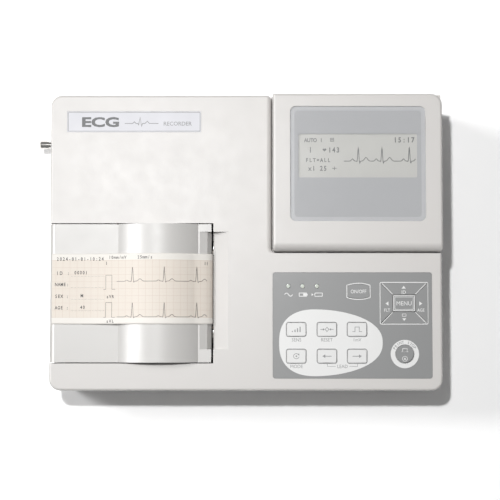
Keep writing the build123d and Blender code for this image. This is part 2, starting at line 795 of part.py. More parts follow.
with BuildPart() as paper_tray:
    box_between((tub_left, tub_front, tub_floor_z - tub_wall), (tub_right, tub_rear, tub_top_z))
    fillet(paper_tray.edges().filter_by(Axis.Z), 2.5)
    box_between(
        (tub_left + tub_wall, tub_front + tub_wall, tub_floor_z),
        (tub_right - tub_wall, tub_rear - tub_wall, tub_top_z + 1), mode=Mode.SUBTRACT,
    )
    box_between(
        (tub_left - 1, cover_front - cover_gap, tub_low_wall_z),
        (tub_left + tub_wall + 2, cover_rear + cover_gap, tub_top_z + 1), mode=Mode.SUBTRACT,
    )
    for ear_y in ear_places:
        box_between(
            (tub_left, ear_y - ear_width / 2, tub_low_wall_z - 4),
            (hinge_x + ear_radius - 0.6, ear_y + ear_width / 2, hinge_z),
        )
        round_bar(hinge_x, hinge_z, ear_radius, ear_y + ear_width / 2, ear_width)
    round_bar(hinge_x, hinge_z, hinge_pin_radius + 0.01, cover_rear, 100, mode=Mode.SUBTRACT)
    # cradles that the roll's spindle drops into
    for inner in (paper_rear + cradle_gap, paper_front - cradle_gap - cradle_wall):
        with BuildSketch(side_plane(inner + cradle_wall)):
            with BuildLine():
                left, right = roll_x - cradle_half, roll_x + cradle_half
                Polyline(
                    (left - 4, tub_floor_z - 0.5), (left, cradle_top), (right, cradle_top),
                    (right + 4, tub_floor_z - 0.5), close=True,
                )
            make_face()
            with Locations((roll_x, roll_z)):
                Circle(spindle_pin_radius + running, mode=Mode.SUBTRACT)
            with Locations((roll_x, (roll_z + cradle_top) / 2 + 1)):
                Rectangle(
                    2 * (spindle_pin_radius + running), cradle_top - roll_z + 2, mode=Mode.SUBTRACT
                )
        extrude(amount=cradle_wall)
    with BuildSketch(Plane.XY.offset(tub_floor_z - tub_wall)):
        with Locations(*tub_screw_places):
            Circle(screw_radius + screw_clearance)
    extrude(amount=tub_wall, mode=Mode.SUBTRACT)
finish(paper_tray, "paper_tray")

with BuildPart() as hinge_pin:
    round_bar(hinge_x, hinge_z, hinge_pin_radius, cover_rear - 1, cover_rear - cover_front - 2)
    chamfer(hinge_pin.faces().filter_by(Axis.Y).edges(), 0.3)
finish(hinge_pin, "hinge_pin")


# ================================================================== gears of the paper drive
def involute(angle):
    """The involute function, tan(a) - a."""
    return tan(angle) - angle


def toothed_wheel(teeth, middle, tooth_at):
    """A spur gear's outline round middle, one tooth centred on the direction tooth_at."""
    pitch = module * teeth / 2
    base = pitch * cos(pressure_angle)
    tip, root = pitch + module, pitch - 1.25 * module
    half = (pi * module / 2 - backlash / 2) / (2 * pitch) + involute(pressure_angle)

    def flank(radius, side, centre):
        turn = half - involute(acos(min(1.0, base / radius)))
        angle = centre + side * turn
        return (middle[0] + radius * cos(angle), middle[1] + radius * sin(angle))

    start = max(root, base)
    halfway = (start + tip) / 2
    with BuildLine() as outline:
        for tooth in range(teeth):
            centre = tooth_at + tooth * 2 * pi / teeth
            foot_angle = half - involute(acos(min(1.0, base / start)))
            foot = [
                (middle[0] + root * cos(centre + s * foot_angle),
                 middle[1] + root * sin(centre + s * foot_angle))
                for s in (-1, 1)
            ]
            if root < base:
                Line(foot[0], flank(start, -1, centre))
                Line(flank(start, 1, centre), foot[1])
            ThreePointArc(
                flank(start, -1, centre), flank(halfway, -1, centre), flank(tip, -1, centre)
            )
            Line(flank(tip, -1, centre), flank(tip, 1, centre))
            ThreePointArc(
                flank(tip, 1, centre), flank(halfway, 1, centre), flank(start, 1, centre)
            )
            following = centre + 2 * pi / teeth - foot_angle
            low = (middle[0] + root * cos(following), middle[1] + root * sin(following))
            Line(foot[1] if root < base else flank(start, 1, centre), low)
    make_face(outline.edges())


platen_rear = paper_y + platen_length / 2
platen_front = paper_y - platen_length / 2
bracket_front_inner = platen_front - bracket_gap
bracket_rear_inner = platen_rear + bracket_gap
small_plane_y = bracket_front_inner - bracket_wall - 0.4  # where the platen's gear runs
large_plane_y = small_plane_y - gear_width - 0.6
idler_x = platen_x
idler_z = platen_z - module * (platen_teeth + idler_small_teeth) / 2
pinion_distance = module * (pinion_teeth + idler_large_teeth) / 2
motor_x = idler_x + pinion_distance * cos(idler_turn)
motor_z = idler_z + pinion_distance * sin(idler_turn)
plate_front = bracket_front_inner - bracket_wall + plate_gauge  # inner faces of the side plates
plate_rear = bracket_rear_inner + bracket_wall - plate_gauge
gear_end = large_plane_y - gear_width

with BuildPart() as platen_gear:
    with BuildSketch(side_plane(small_plane_y)):
        toothed_wheel(platen_teeth, (platen_x, platen_z), radians(-90))
        with Locations((platen_x, platen_z)):
            Circle(platen_shaft_radius, mode=Mode.SUBTRACT)
    extrude(amount=gear_width)
finish(platen_gear, "platen_gear")

with BuildPart() as idler_gear:
    with BuildSketch(side_plane(small_plane_y)):
        toothed_wheel(idler_small_teeth, (idler_x, idler_z), radians(90) + pi / idler_small_teeth)
        with Locations((idler_x, idler_z)):
            Circle(hinge_pin_radius + running, mode=Mode.SUBTRACT)
    extrude(amount=gear_width)
    with BuildSketch(side_plane(small_plane_y - gear_width)):
        with Locations((idler_x, idler_z)):
            Circle(module * idler_small_teeth / 2 - 1)
            Circle(hinge_pin_radius + running, mode=Mode.SUBTRACT)
    extrude(amount=small_plane_y - gear_width - large_plane_y)
    with BuildSketch(side_plane(large_plane_y)):
        toothed_wheel(idler_large_teeth, (idler_x, idler_z), idler_turn)
        with Locations((idler_x, idler_z)):
            Circle(hinge_pin_radius + running, mode=Mode.SUBTRACT)
    extrude(amount=gear_width)
finish(idler_gear, "idler_gear")

motor_shaft_radius = 1.0
with BuildPart() as motor_pinion:
    with BuildSketch(side_plane(large_plane_y)):
        toothed_wheel(pinion_teeth, (motor_x, motor_z), idler_turn + pi + pi / pinion_teeth)
    extrude(amount=gear_width)
    round_bar(motor_x, motor_z, motor_shaft_radius, plate_front + 5, plate_front + 5 - large_plane_y)
finish(motor_pinion, "motor_pinion")

with BuildPart() as drive_motor:
    round_bar(motor_x, motor_z, motor_radius, plate_front + motor_length, motor_length)
    chamfer(drive_motor.edges().filter_by(GeomType.CIRCLE), 0.6)
    round_bar(motor_x, motor_z, 3.0, plate_front, plate_gauge + 0.3)
    round_bar(
        motor_x, motor_z, motor_shaft_radius + running, plate_front + 6, 6 + plate_gauge + 1,
        mode=Mode.SUBTRACT,
    )
    box_between(
        (motor_x - 4, plate_front + motor_length - 5, motor_z + motor_radius - 0.6),
        (motor_x + 4, plate_front + motor_length - 0.8, motor_z + motor_radius + 1.6),
    )
finish(drive_motor, "drive_motor")

# ================================================================== recorder frame
head_face_x = platen_x + platen_radius + head_gap
heatsink_x = head_face_x + head_thickness
pivot_x = heatsink_x + heatsink_thickness + 1.2
frame_left = idler_x - 6.6
frame_right = tub_right - tub_wall - 1.0
frame_step_x = slot_far - 0.4
frame_step_z = platen_z - bush_radius - 1.7
frame_top_z = deck_z - recess_drop - wall - 0.6
web_x = pivot_x + 6.5
web_low_z = motor_z + motor_radius + 2.4

with BuildPart() as recorder_frame:
    box_between(
        (frame_left, plate_front - plate_gauge, tub_floor_z),
        (frame_right, plate_rear + plate_gauge, tub_floor_z + plate_gauge),
    )
    for plate_y in (plate_rear + plate_gauge, plate_front):
        with BuildSketch(side_plane(plate_y)):
            with BuildLine():
                Polyline(
                    (frame_left, tub_floor_z), (frame_right, tub_floor_z),
                    (frame_right, frame_top_z), (frame_step_x, frame_top_z),
                    (frame_step_x, frame_step_z), (frame_left, frame_step_z), close=True,
                )
            make_face()
            with Locations((pivot_x, pivot_z)):
                Circle(pivot_radius + 0.01, mode=Mode.SUBTRACT)
        extrude(amount=plate_gauge)
    box_between(
        (web_x, plate_front, web_low_z), (web_x + plate_gauge, plate_rear, frame_top_z - 0.8)
    )
    round_bar(motor_x, motor_z, 3.1, plate_front, plate_gauge, mode=Mode.SUBTRACT)
    round_bar(idler_x, idler_z, hinge_pin_radius + 0.01, plate_front, plate_gauge, Mode.SUBTRACT)
    for bore in ((motor_x, plate_rear - 20), (motor_x, plate_rear - 40)):
        with BuildSketch(Plane.XY.offset(tub_floor_z)):
            with Locations(bore):
                RectangleRounded(18, 12, 2)
        extrude(amount=plate_gauge, mode=Mode.SUBTRACT)
finish(recorder_frame, "recorder_frame")

head_front = plate_front + 1.0
head_length = plate_rear - plate_front - 2.0
with BuildPart() as print_head:
    box_between(
        (head_face_x, head_front, head_low_z),
        (heatsink_x, head_front + head_length, head_high_z),
    )
    # the raised line of heating dots that bears on the platen
    with BuildSketch(side_plane(head_front + head_length)):
        with Locations((head_face_x + 0.05, platen_z)):
            Ellipse(0.22, 0.9)
    extrude(amount=head_length)
finish(print_head, "print_head")

with BuildPart() as head_heatsink:
    box_between(
        (heatsink_x, head_front, head_low_z - 2.4),
        (heatsink_x + heatsink_thickness, head_front + head_length, head_high_z),
    )
    round_bar(pivot_x, pivot_z, 2.9, head_front + head_length, head_length)
    round_bar(
        pivot_x, pivot_z, pivot_radius + running, head_front + head_length, head_length,
        mode=Mode.SUBTRACT,
    )
    for step in range(3):
        box_between(
            (heatsink_x + 2.2, head_front - 1, pivot_z + 4.2 + step * 2.6),
            (heatsink_x + heatsink_thickness + 1, head_front + head_length + 1,
             pivot_z + 5.4 + step * 2.6), mode=Mode.SUBTRACT,
        )
finish(head_heatsink, "head_heatsink")

with BuildPart() as frame_pins:
    pin_rear = plate_rear + plate_gauge + 0.8
    round_bar(pivot_x, pivot_z, pivot_radius, pin_rear, pin_rear - plate_front + plate_gauge + 0.8)
    round_bar(idler_x, idler_z, hinge_pin_radius, plate_front, plate_front - gear_end + 1.4)
    round_bar(idler_x, idler_z, 2.6, gear_end - 0.3, 0.6)
    round_bar(idler_x, idler_z, 2.6, plate_front - plate_gauge - 0.04, 0.3)
finish(frame_pins, "frame_pins")

spring_left = heatsink_x + heatsink_thickness
spring_length = web_x - spring_left - 0.45
with BuildPart() as head_springs:
    for spring_y in (paper_y - 15, paper_y + 15):
        pitch = (spring_length - 2 * spring_wire) / spring_turns
        start = (spring_left + spring_wire, spring_y, platen_z + 1.5)
        with BuildLine() as coil:
            Helix(pitch, pitch * spring_turns, spring_radius - spring_wire, start, (1, 0, 0))
        with BuildSketch(Plane(origin=coil.line @ 0, z_dir=coil.line % 0)):
            Circle(spring_wire)
        sweep(path=coil.line, is_frenet=True)
finish(head_springs, "head_springs")

slope = atan2(recess_drop, recess_far - slot_far)
teeth_pitch = 1.5
teeth_tip = -0.25  # the teeth's tips and roots, along the slope from the slot's edge
teeth_root = 0.35
bar_gauge = 0.3
bar_width = 2.0  # how far the tear bar reaches up the recess
bar_rear = paper_rear + 2.2
with BuildPart() as tear_bar:
    on_slope = Plane(
        origin=(slot_far, 0, deck_z - recess_drop), x_dir=(cos(slope), 0, sin(slope)),
        z_dir=(-sin(slope), 0, cos(slope)),
    )
    bar_teeth = int((paper_width + 4.4) / teeth_pitch)
    with BuildSketch(on_slope):
        with BuildLine():
            edge = []
            for tooth in range(bar_teeth):
                edge.append((teeth_tip, bar_rear - (tooth + 0.5) * teeth_pitch))
                edge.append((teeth_root, bar_rear - (tooth + 1) * teeth_pitch))
            far_y = bar_rear - bar_teeth * teeth_pitch
            corners = [(bar_width, bar_rear), (teeth_root, bar_rear), *edge, (bar_width, far_y)]
            Polyline(*corners, close=True)
        make_face()
    extrude(amount=bar_gauge)
finish(tear_bar, "tear_bar")

# ================================================================== recorder cover
bulge_radius = (bulge_chord ** 2 / 4 + bulge_rise ** 2) / (2 * bulge_rise)
bulge_centre_z = deck_z + bulge_rise - bulge_radius
bulge_left = bulge_middle - bulge_chord / 2
cover_end = case_left + cover_length
inner_deck_z = deck_z - cover_wall
inner_bulge_half = sqrt((bulge_radius - cover_wall) ** 2 - (inner_deck_z - bulge_centre_z) ** 2)
skirt_depth = 7.0
lip_overlap = 2.2
knee_z = deck_z - recess_knee_drop
edge_z = deck_z - recess_drop


def cover_outline(rise, left, corner, half, drop):
    """Half the cover's skin in side view: up its left wall, over the bulge, to the slot."""
    Line((left, hinge_z), (left, rise - corner))
    RadiusArc((left, rise - corner), (left + corner, rise), corner)
    Line((left + corner, rise), (bulge_middle - half, rise))
    top = deck_z + bulge_rise - drop
    ThreePointArc((bulge_middle - half, rise), (bulge_middle, top), (bulge_middle + half, rise))
    Line((bulge_middle + half, rise), (cover_end, rise))


with BuildPart() as recorder_cover:
    # the skin
    with BuildSketch(side_plane(cover_rear)):
        with BuildLine():
            cover_outline(deck_z, case_left, cover_corner, bulge_chord / 2, 0)
            cover_outline(
                inner_deck_z, case_left + cover_wall, cover_corner - cover_wall,
                inner_bulge_half, cover_wall,
            )
            Line((case_left, hinge_z), (case_left + cover_wall, hinge_z))
            Line((cover_end, deck_z), (cover_end, inner_deck_z))
        make_face()
    extrude(amount=cover_rear - cover_front)
    # its two ends, down into the opening, and the rolled edge round the hinge
    for end_y in (cover_rear, cover_front + cover_wall):
        with BuildSketch(side_plane(end_y)):
            with BuildLine():
                cover_outline(deck_z, case_left, cover_corner, bulge_chord / 2, 0)
                Polyline(
                    (cover_end, deck_z), (cover_end, deck_z - skirt_depth),
                    (hinge_x + 18, deck_z - skirt_depth), (hinge_x + skirt_radius, hinge_z),
                    (case_left, hinge_z),
                )
            make_face()
        extrude(amount=cover_wall)
    round_bar(hinge_x, hinge_z, skirt_radius, cover_rear, cover_rear - cover_front)
    # finger recess: its floor first, and then the hollow
    with BuildSketch(side_plane(recess_rear + lip_overlap)):
        with BuildLine():
            Polyline(
                (recess_near - 2, deck_z - 1), (recess_near - 2, inner_deck_z),
                (recess_knee - 1.4, knee_z - cover_wall), (recess_knee + 0.8, edge_z - 2.1),
                (cover_end, edge_z - 2.1), (cover_end, deck_z - 1), close=True,
            )
        make_face()
    extrude(amount=recess_rear - recess_front + 2 * lip_overlap)
    with BuildSketch(side_plane(recess_rear)):
        with BuildLine():
            Polyline(
                (recess_near, deck_z), (recess_knee, knee_z), (cover_end, edge_z),
                (cover_end + 1, edge_z), (cover_end + 1, deck_z + 1), (recess_near, deck_z + 1),
                close=True,
            )
        make_face()
    extrude(amount=recess_rear - recess_front, mode=Mode.SUBTRACT)
    # brackets that hold the platen's bushes
    for bracket_y in (bracket_front_inner, bracket_rear_inner + bracket_wall):
        with BuildSketch(side_plane(bracket_y)):
            with BuildLine():
                half = bush_radius + 1.0
                Polyline(
                    (platen_x - half, platen_z), (platen_x - half, inner_deck_z + 0.5),
                    (platen_x + half - 0.6, inner_deck_z - 2), (platen_x + half, platen_z + 5),
                    (platen_x + half, platen_z),
                )
                ThreePointArc(
                    (platen_x + half, platen_z), (platen_x, platen_z - half),
                    (platen_x - half, platen_z),
                )
            make_face()
            with Locations((platen_x, platen_z)):
                Circle(bush_radius, mode=Mode.SUBTRACT)
        extrude(amount=bracket_wall)
    # ribs under the skin
    for rib_x in (bulge_left - 22, bulge_left - 6):
        box_between((rib_x, cover_front + 1, inner_deck_z - 4), (rib_x + 1.4, cover_rear - 1, deck_z - 1))
    # gaps for the tub's hinge ears, and the bore for the pin
    for ear_y in ear_places:
        box_between(
            (case_left - 1, ear_y - ear_width / 2 - ear_gap, hinge_z - skirt_radius - 1),
            (hinge_x + skirt_radius + 1, ear_y + ear_width / 2 + ear_gap,
             hinge_z + ear_radius + 1.0), mode=Mode.SUBTRACT,
        )
    round_bar(
        hinge_x, hinge_z, hinge_pin_radius + running, cover_rear + 1, cover_rear - cover_front + 2,
        mode=Mode.SUBTRACT,
    )
finish(recorder_cover, "recorder_cover")

with BuildPart() as platen_bushes:
    for bush_y in (bracket_front_inner, bracket_rear_inner + bracket_wall):
        round_bar(platen_x, platen_z, bush_radius, bush_y, bracket_wall)
    round_bar(
        platen_x, platen_z, platen_shaft_radius + running, case_rear, case_depth,
        mode=Mode.SUBTRACT,
    )
finish(platen_bushes, "platen_bushes")

rubber_bore = platen_radius - rubber_wall
with BuildPart() as platen_shaft:
    round_bar(platen_x, platen_z, rubber_bore, platen_rear, platen_length)
    shaft_rear = bracket_rear_inner + bracket_wall + 1.2
    shaft_front = small_plane_y - gear_width
    round_bar(platen_x, platen_z, platen_shaft_radius, shaft_rear, shaft_rear - shaft_front)
    chamfer(platen_shaft.faces().sort_by(Axis.Y)[-1].edges(), 0.3)
finish(platen_shaft, "platen_shaft")

with BuildPart() as platen_rubber:
    round_bar(platen_x, platen_z, platen_radius, platen_rear, platen_length)
    round_bar(platen_x, platen_z, rubber_bore, platen_rear, platen_length, mode=Mode.SUBTRACT)
    fillet(platen_rubber.edges().filter_by(GeomType.CIRCLE).sort_by(SortBy.RADIUS)[-2:], 0.3)
finish(platen_rubber, "platen_rubber")

# ================================================================== paper
with BuildPart() as paper_roll:
    round_bar(roll_x, roll_z, roll_radius, paper_rear, paper_width)
    round_bar(roll_x, roll_z, roll_bore - core_wall, paper_rear, paper_width, Mode.SUBTRACT)
finish(paper_roll, "paper_roll")

with BuildPart() as roll_spindle:
    round_bar(roll_x, roll_z, spindle_radius, paper_rear + 2, paper_width + 4)
    pin_reach = cradle_gap + cradle_wall + 1.0
    round_bar(
        roll_x, roll_z, spindle_pin_radius, paper_rear + pin_reach, paper_width + 2 * pin_reach
    )
    chamfer(roll_spindle.faces().filter_by(Axis.Y).sort_by(Axis.Y)[-1].edges(), 0.5)
    chamfer(roll_spindle.faces().filter_by(Axis.Y).sort_by(Axis.Y)[0].edges(), 0.5)
finish(roll_spindle, "roll_spindle")

strip_clearance = 0.2
strip_x = (cover_end + slot_far) / 2
strip_low_z = platen_z + platen_radius + 0.5
strip_bend_z = edge_z + 0.5
strip_near_turn = radians(30)  # where the strip meets the bulge, from its top
strip_far_turn = radians(17.5)  # and where it leaves it
strip_land_x = case_left + 19.0  # where it comes down on the cover
strip_end_x = case_left + 1.5


def strip_side(gap):
    """One face of the paper strip in side view, gap above the cover's skin."""
    radius = bulge_radius + strip_clearance + gap
    on_bulge = [
        (bulge_middle + radius * sin(turn), bulge_centre_z + radius * cos(turn))
        for turn in (strip_near_turn, 0, -strip_far_turn)
    ]
    leave = (-cos(strip_near_turn), sin(strip_near_turn))
    fall = (-cos(strip_far_turn), -sin(strip_far_turn))
    flat = deck_z + strip_clearance + gap
    Line((strip_x + gap, strip_low_z), (strip_x + gap, strip_bend_z))
    Spline((strip_x + gap, strip_bend_z), on_bulge[0], tangents=[(0, 1), leave])
    ThreePointArc(*on_bulge)
    Spline(on_bulge[2], (strip_land_x, flat), tangents=[fall, (-1, 0)])
    Line((strip_land_x, flat), (strip_end_x, flat))


with BuildPart() as paper_strip:
    with BuildSketch(side_plane(paper_rear)):
        with BuildLine():
            strip_side(0)
            strip_side(paper_thickness)
            Line((strip_x, strip_low_z), (strip_x + paper_thickness, strip_low_z))
            end_z = deck_z + strip_clearance
            Line((strip_end_x, end_z), (strip_end_x, end_z + paper_thickness))
        make_face()
    extrude(amount=paper_width)
finish(paper_strip, "paper_strip")

# ================================================================== boards
with BuildPart() as main_board:
    box_between(
        (board_left, board_front, board_z),
        (board_left + board_length, board_front + board_depth, board_z + board_thickness),
    )
    with BuildSketch(Plane.XY.offset(board_z)):
        with Locations(*board_screw_places):
            Circle(screw_radius + screw_clearance)
    extrude(amount=board_thickness, mode=Mode.SUBTRACT)
finish(main_board, "main_board")

# each component: place on the board from its front left corner, then its size
chips = [
    ((34, 70), (20, 20, 1.6)), ((66, 70), (14, 14, 1.4)), ((34, 100), (16, 10, 1.2)),
    ((62, 102), (12, 8, 1.2)), ((90, 96), (10, 18, 2.4)), ((92, 66), (22, 10, 6.0)),
    ((20, 40), (8, 30, 8.0)), ((60, 14), (40, 7, 8.0)), ((98, 30), (12, 12, 9.0)),
]
cans = [((34, 22), 5, 11), ((46, 22), 4, 9), ((80, 40), 4, 9), ((92, 44), 3, 7)]
stand = (Align.CENTER, Align.CENTER, Align.MIN)
board_top = board_z + board_thickness
with BuildPart() as board_chips:
    for (dx, dy), size in chips:
        with Locations((board_left + dx, board_front + dy, board_top)):
            Box(*size, align=stand)
    for (dx, dy), radius, height in cans:
        with Locations((board_left + dx, board_front + dy, board_top)):
            Cylinder(radius, height, align=stand)
finish(board_chips, "board_chips")

with BuildPart() as power_board:
    box_between(
        (supply_left, supply_front, supply_z),
        (supply_left + supply_length, supply_front + supply_depth, supply_z + board_thickness),
    )
    with BuildSketch(Plane.XY.offset(supply_z)):
        with Locations(*supply_screw_places):
            Circle(screw_radius + screw_clearance)
    extrude(amount=board_thickness, mode=Mode.SUBTRACT)
finish(power_board, "power_board")

supply_top = supply_z + board_thickness
supply_boxes = [
    ((60, 30), (40, 34, 26)), ((28, 56), (30, 12, 18)), ((90, 30), (4, 40, 24)),
    ((14, 30), (14, 26, 10)), ((90, 58), (16, 10, 12)),
]
supply_cans = [((34, 26), 8, 26), ((34, 44), 4, 14), ((58, 60), 5, 16), ((70, 60), 5, 16)]
with BuildPart() as power_parts:
    for (dx, dy), size in supply_boxes:
        with Locations((supply_left + dx, supply_front + dy, supply_top)):
            Box(*size, align=stand)
    for (dx, dy), radius, height in supply_cans:
        with Locations((supply_left + dx, supply_front + dy, supply_top)):
            Cylinder(radius, height, align=stand)
finish(power_parts, "power_parts")

# ================================================================== battery
battery_low_z = foot_height + door_thickness + 0.4
with BuildPart() as battery_pack:
    with BuildSketch(Plane.XY.offset(battery_low_z)):
        with Locations(battery_middle):
            RectangleRounded(battery_size[0], battery_size[1], 1.5)
    extrude(amount=battery_size[2])
    chamfer(battery_pack.faces().sort_by(Axis.Z)[-1].edges(), 0.8)
finish(battery_pack, "battery_pack")

with BuildPart() as battery_door:
    with BuildSketch(Plane.XY.offset(foot_height)):
        with Locations(battery_middle):
            RectangleRounded(
                bay_x + 2 * door_ledge + 8 - 2 * door_gap, bay_y + 2 * door_ledge - 2 * door_gap,
                2 - door_gap,
            )
    extrude(amount=door_thickness)
    with BuildSketch(Plane.XY.offset(foot_height)):
        with Locations(battery_middle):
            with GridLocations(4, 0, 9, 1):
                SlotOverall(12, 1.2, rotation=90)
    extrude(amount=0.5, mode=Mode.SUBTRACT)
finish(battery_door, "battery_door")

# ================================================================== left wall: inlet, switch, stud
face_x = case_left + 0.3
flange_x = case_left + wall + tongue + 0.3
inlet_pin = (4.0, 2.0, 10.0)
with BuildPart() as mains_inlet:
    with BuildSketch(left_plane(face_x)):
        with Locations((inlet_y, socket_z)):
            RectangleRounded(*inlet_size, 1.4)
    extrude(amount=inlet_body_depth)
    with BuildSketch(left_plane(flange_x)):
        with Locations((inlet_y, socket_z)):
            RectangleRounded(*inlet_flange, 1.4)
    extrude(amount=2)
    with BuildSketch(left_plane(face_x)):
        with Locations((inlet_y, socket_z)):
            Rectangle(*inlet_mouth)
    extrude(amount=inlet_mouth_depth, mode=Mode.SUBTRACT)
    with BuildSketch(left_plane(face_x + inlet_mouth_depth - inlet_pin[2])):
        for dy, dz in ((-7, -1.6), (0, 2.4), (7, -1.6)):
            with Locations((inlet_y + dy, socket_z + dz)):
                Rectangle(inlet_pin[1], inlet_pin[0])
    extrude(amount=inlet_pin[2])
finish(mains_inlet, "mains_inlet")

rocker_x = case_left + 7.0
rocker_half = 6.8
rocker_reach = 5.6
rocker_pin_radius = 1.2
switch_depth = 14.0
with BuildPart() as switch_housing:
    with BuildSketch(left_plane(face_x)):
        with Locations((rocker_y, socket_z)):
            Rectangle(*rocker_frame)
    extrude(amount=switch_depth)
    with BuildSketch(left_plane(flange_x)):
        with Locations((rocker_y, socket_z)):
            Rectangle(rocker_frame[0] + 2.4, rocker_frame[1] + 2)
    extrude(amount=1.6)
    with BuildSketch(left_plane(face_x)):
        with Locations((rocker_y, socket_z)):
            Rectangle(*rocker_window)
    extrude(amount=switch_depth - 1.4, mode=Mode.SUBTRACT)
    pin_span = rocker_window[0] / 2 + 1.3
    round_bar(
        rocker_x, socket_z, rocker_pin_radius + running, rocker_y + pin_span + 0.1,
        2 * pin_span + 0.2, mode=Mode.SUBTRACT,
    )
finish(switch_housing, "switch_housing")

with BuildPart() as switch_rocker:
    rocker_plane = side_plane(rocker_y + rocker_window[0] / 2 - 0.3)
    tilted = Plane(
        origin=(rocker_x, rocker_plane.origin.Y, socket_z),
        x_dir=(cos(radians(rocker_tilt)), 0, sin(radians(rocker_tilt))), z_dir=(0, -1, 0),
    )
    with BuildSketch(tilted):
        with BuildLine():
            ThreePointArc(
                (-rocker_reach, rocker_half), (-rocker_reach + 0.9, 0), (-rocker_reach, -rocker_half)
            )
            Line((-rocker_reach, -rocker_half), (-1.5, -5.4))
            ThreePointArc((-1.5, -5.4), (3.4, 0), (-1.5, 5.4))
            Line((-1.5, 5.4), (-rocker_reach, rocker_half))
        make_face()
    extrude(amount=rocker_window[0] - 0.6)
    round_bar(rocker_x, socket_z, rocker_pin_radius, rocker_y + pin_span, 2 * pin_span)
finish(switch_rocker, "switch_rocker")

stud_tip_x = case_left - stud_reach
with BuildPart() as earth_stud:
    # along the stud: tip, waist, collar, flange against the wall, shank through it
    lengths = [6.6, 2.0, 2.4, 2.8, 0.0]
    radii = [stud_radius, stud_waist, stud_radius, 5.0, stud_radius]
    lengths[-1] = stud_reach - sum(lengths) + 11
    place = stud_tip_x
    for length, radius in zip(lengths, radii):
        with BuildSketch(left_plane(place)):
            with Locations((stud_y, socket_z)):
                Circle(radius)
        extrude(amount=length)
        place += length
    chamfer(earth_stud.faces().sort_by(Axis.X)[0].edges(), 0.7)
    # its nut, inside the wall
    with BuildSketch(left_plane(case_left + wall + tongue + 1.0)):
        with Locations((stud_y, socket_z)):
            RegularPolygon(5.5, 6)
            Circle(stud_radius + 0.02, mode=Mode.SUBTRACT)
    extrude(amount=3.2)
finish(earth_stud, "earth_stud")

# ================================================================== right wall: sockets
flange_face_x = case_right - socket_sink
shell_reach = socket_sink - 0.4


def d_socket(middle_y, pitch, shell, pins):
    """A D-shaped socket: flange, shell, insert, two screw posts and the block behind."""
    with BuildSketch(left_plane(flange_face_x - 1)) as plate:
        with Locations((middle_y, socket_z)):
            RectangleRounded(pitch + 7.0, socket_flange_height, 1.2)
    extrude(plate.sketch, amount=1)
    with BuildSketch(left_plane(flange_face_x - 1)) as mouth:
        with Locations((middle_y, socket_z)):
            RectangleRounded(*shell, 2.0)
    extrude(mouth.sketch, amount=shell_reach + 1)
    with BuildSketch(left_plane(flange_face_x + shell_reach)) as holes:
        for row, count in ((1.4, pins // 2 + 1), (-1.4, pins // 2)):
            with Locations((middle_y, socket_z + row)):
                with GridLocations(2.76, 0, count, 1):
                    Circle(0.55)
    extrude(holes.sketch, amount=-4, mode=Mode.SUBTRACT)
    block_x = flange_face_x - 8
    box_between(
        (block_x, middle_y - pitch / 2 - 3, floor_z),
        (flange_face_x - 1, middle_y + pitch / 2 + 3, socket_z + 5),
    )
    with BuildSketch(left_plane(flange_face_x)) as posts:
        with Locations((middle_y - pitch / 2, socket_z), (middle_y + pitch / 2, socket_z)):
            RegularPolygon(jack_radius, 6)
    extrude(posts.sketch, amount=shell_reach - 0.6)
    with BuildSketch(left_plane(flange_face_x - 1)) as threads:
        with Locations((middle_y - pitch / 2, socket_z), (middle_y + pitch / 2, socket_z)):
            Circle(jack_hole_radius)
    extrude(threads.sketch, amount=shell_reach + 1, mode=Mode.SUBTRACT)


with BuildPart() as patient_socket:
    d_socket(patient_y, patient_screw_pitch, patient_shell, 15)
finish(patient_socket, "patient_socket")

with BuildPart() as serial_socket:
    d_socket(serial_y, serial_screw_pitch, serial_shell, 9)
finish(serial_socket, "serial_socket")

with BuildPart() as signal_socket:
    with BuildSketch(left_plane(flange_face_x - 2)):
        with Locations((signal_y, socket_z)):
            Circle(signal_radius)
    extrude(amount=socket_sink + 1.6)
    with BuildSketch(left_plane(flange_face_x)):
        with Locations((signal_y, socket_z)):
            Circle(signal_radius - 1.8)
            Circle(signal_radius - 3.2, mode=Mode.SUBTRACT)
    extrude(amount=socket_sink, mode=Mode.SUBTRACT)
    box_between(
        (flange_face_x - 11, signal_y - 7, floor_z), (flange_face_x - 1.5, signal_y + 7, socket_z + 7)
    )
finish(signal_socket, "signal_socket")

# ================================================================== speaker, feet, screws
speaker_at = (case_right - 40, -76)
with BuildPart() as speaker:
    with BuildSketch(Plane.XY.offset(floor_z)):
        with Locations(speaker_at):
            Circle(13)
    extrude(amount=3)
    with BuildSketch(Plane.XY.offset(floor_z + 3)):
        with Locations(speaker_at):
            Circle(8)
    extrude(amount=5)
    with BuildSketch(Plane.XY.offset(floor_z)):
        with Locations(speaker_at):
            Circle(11.5)
    extrude(amount=1.2, mode=Mode.SUBTRACT)
finish(speaker, "speaker")

with BuildPart() as rubber_feet:
    with BuildSketch(Plane.XY):
        with Locations(*foot_places):
            Circle(foot_radius)
    extrude(amount=foot_height + foot_sink)
    chamfer(rubber_feet.faces().filter_by(Axis.Z).group_by(Axis.Z)[0].edges(), 0.8)
finish(rubber_feet, "rubber_feet")


def screw_group(places, head_z, upward, head_height, length, radius=screw_radius):
    """Screws whose heads start at head_z; upward says which way their shanks point."""
    sign = 1 if upward else -1
    with Locations(*places):
        stand_up = (Align.CENTER, Align.CENTER, Align.MIN if upward else Align.MAX)
        with Locations((0, 0, head_z)):
            Cylinder(radius * 2, head_height, align=stand_up)
        with Locations((0, 0, head_z + sign * head_height)):
            Cylinder(radius, length, align=stand_up)


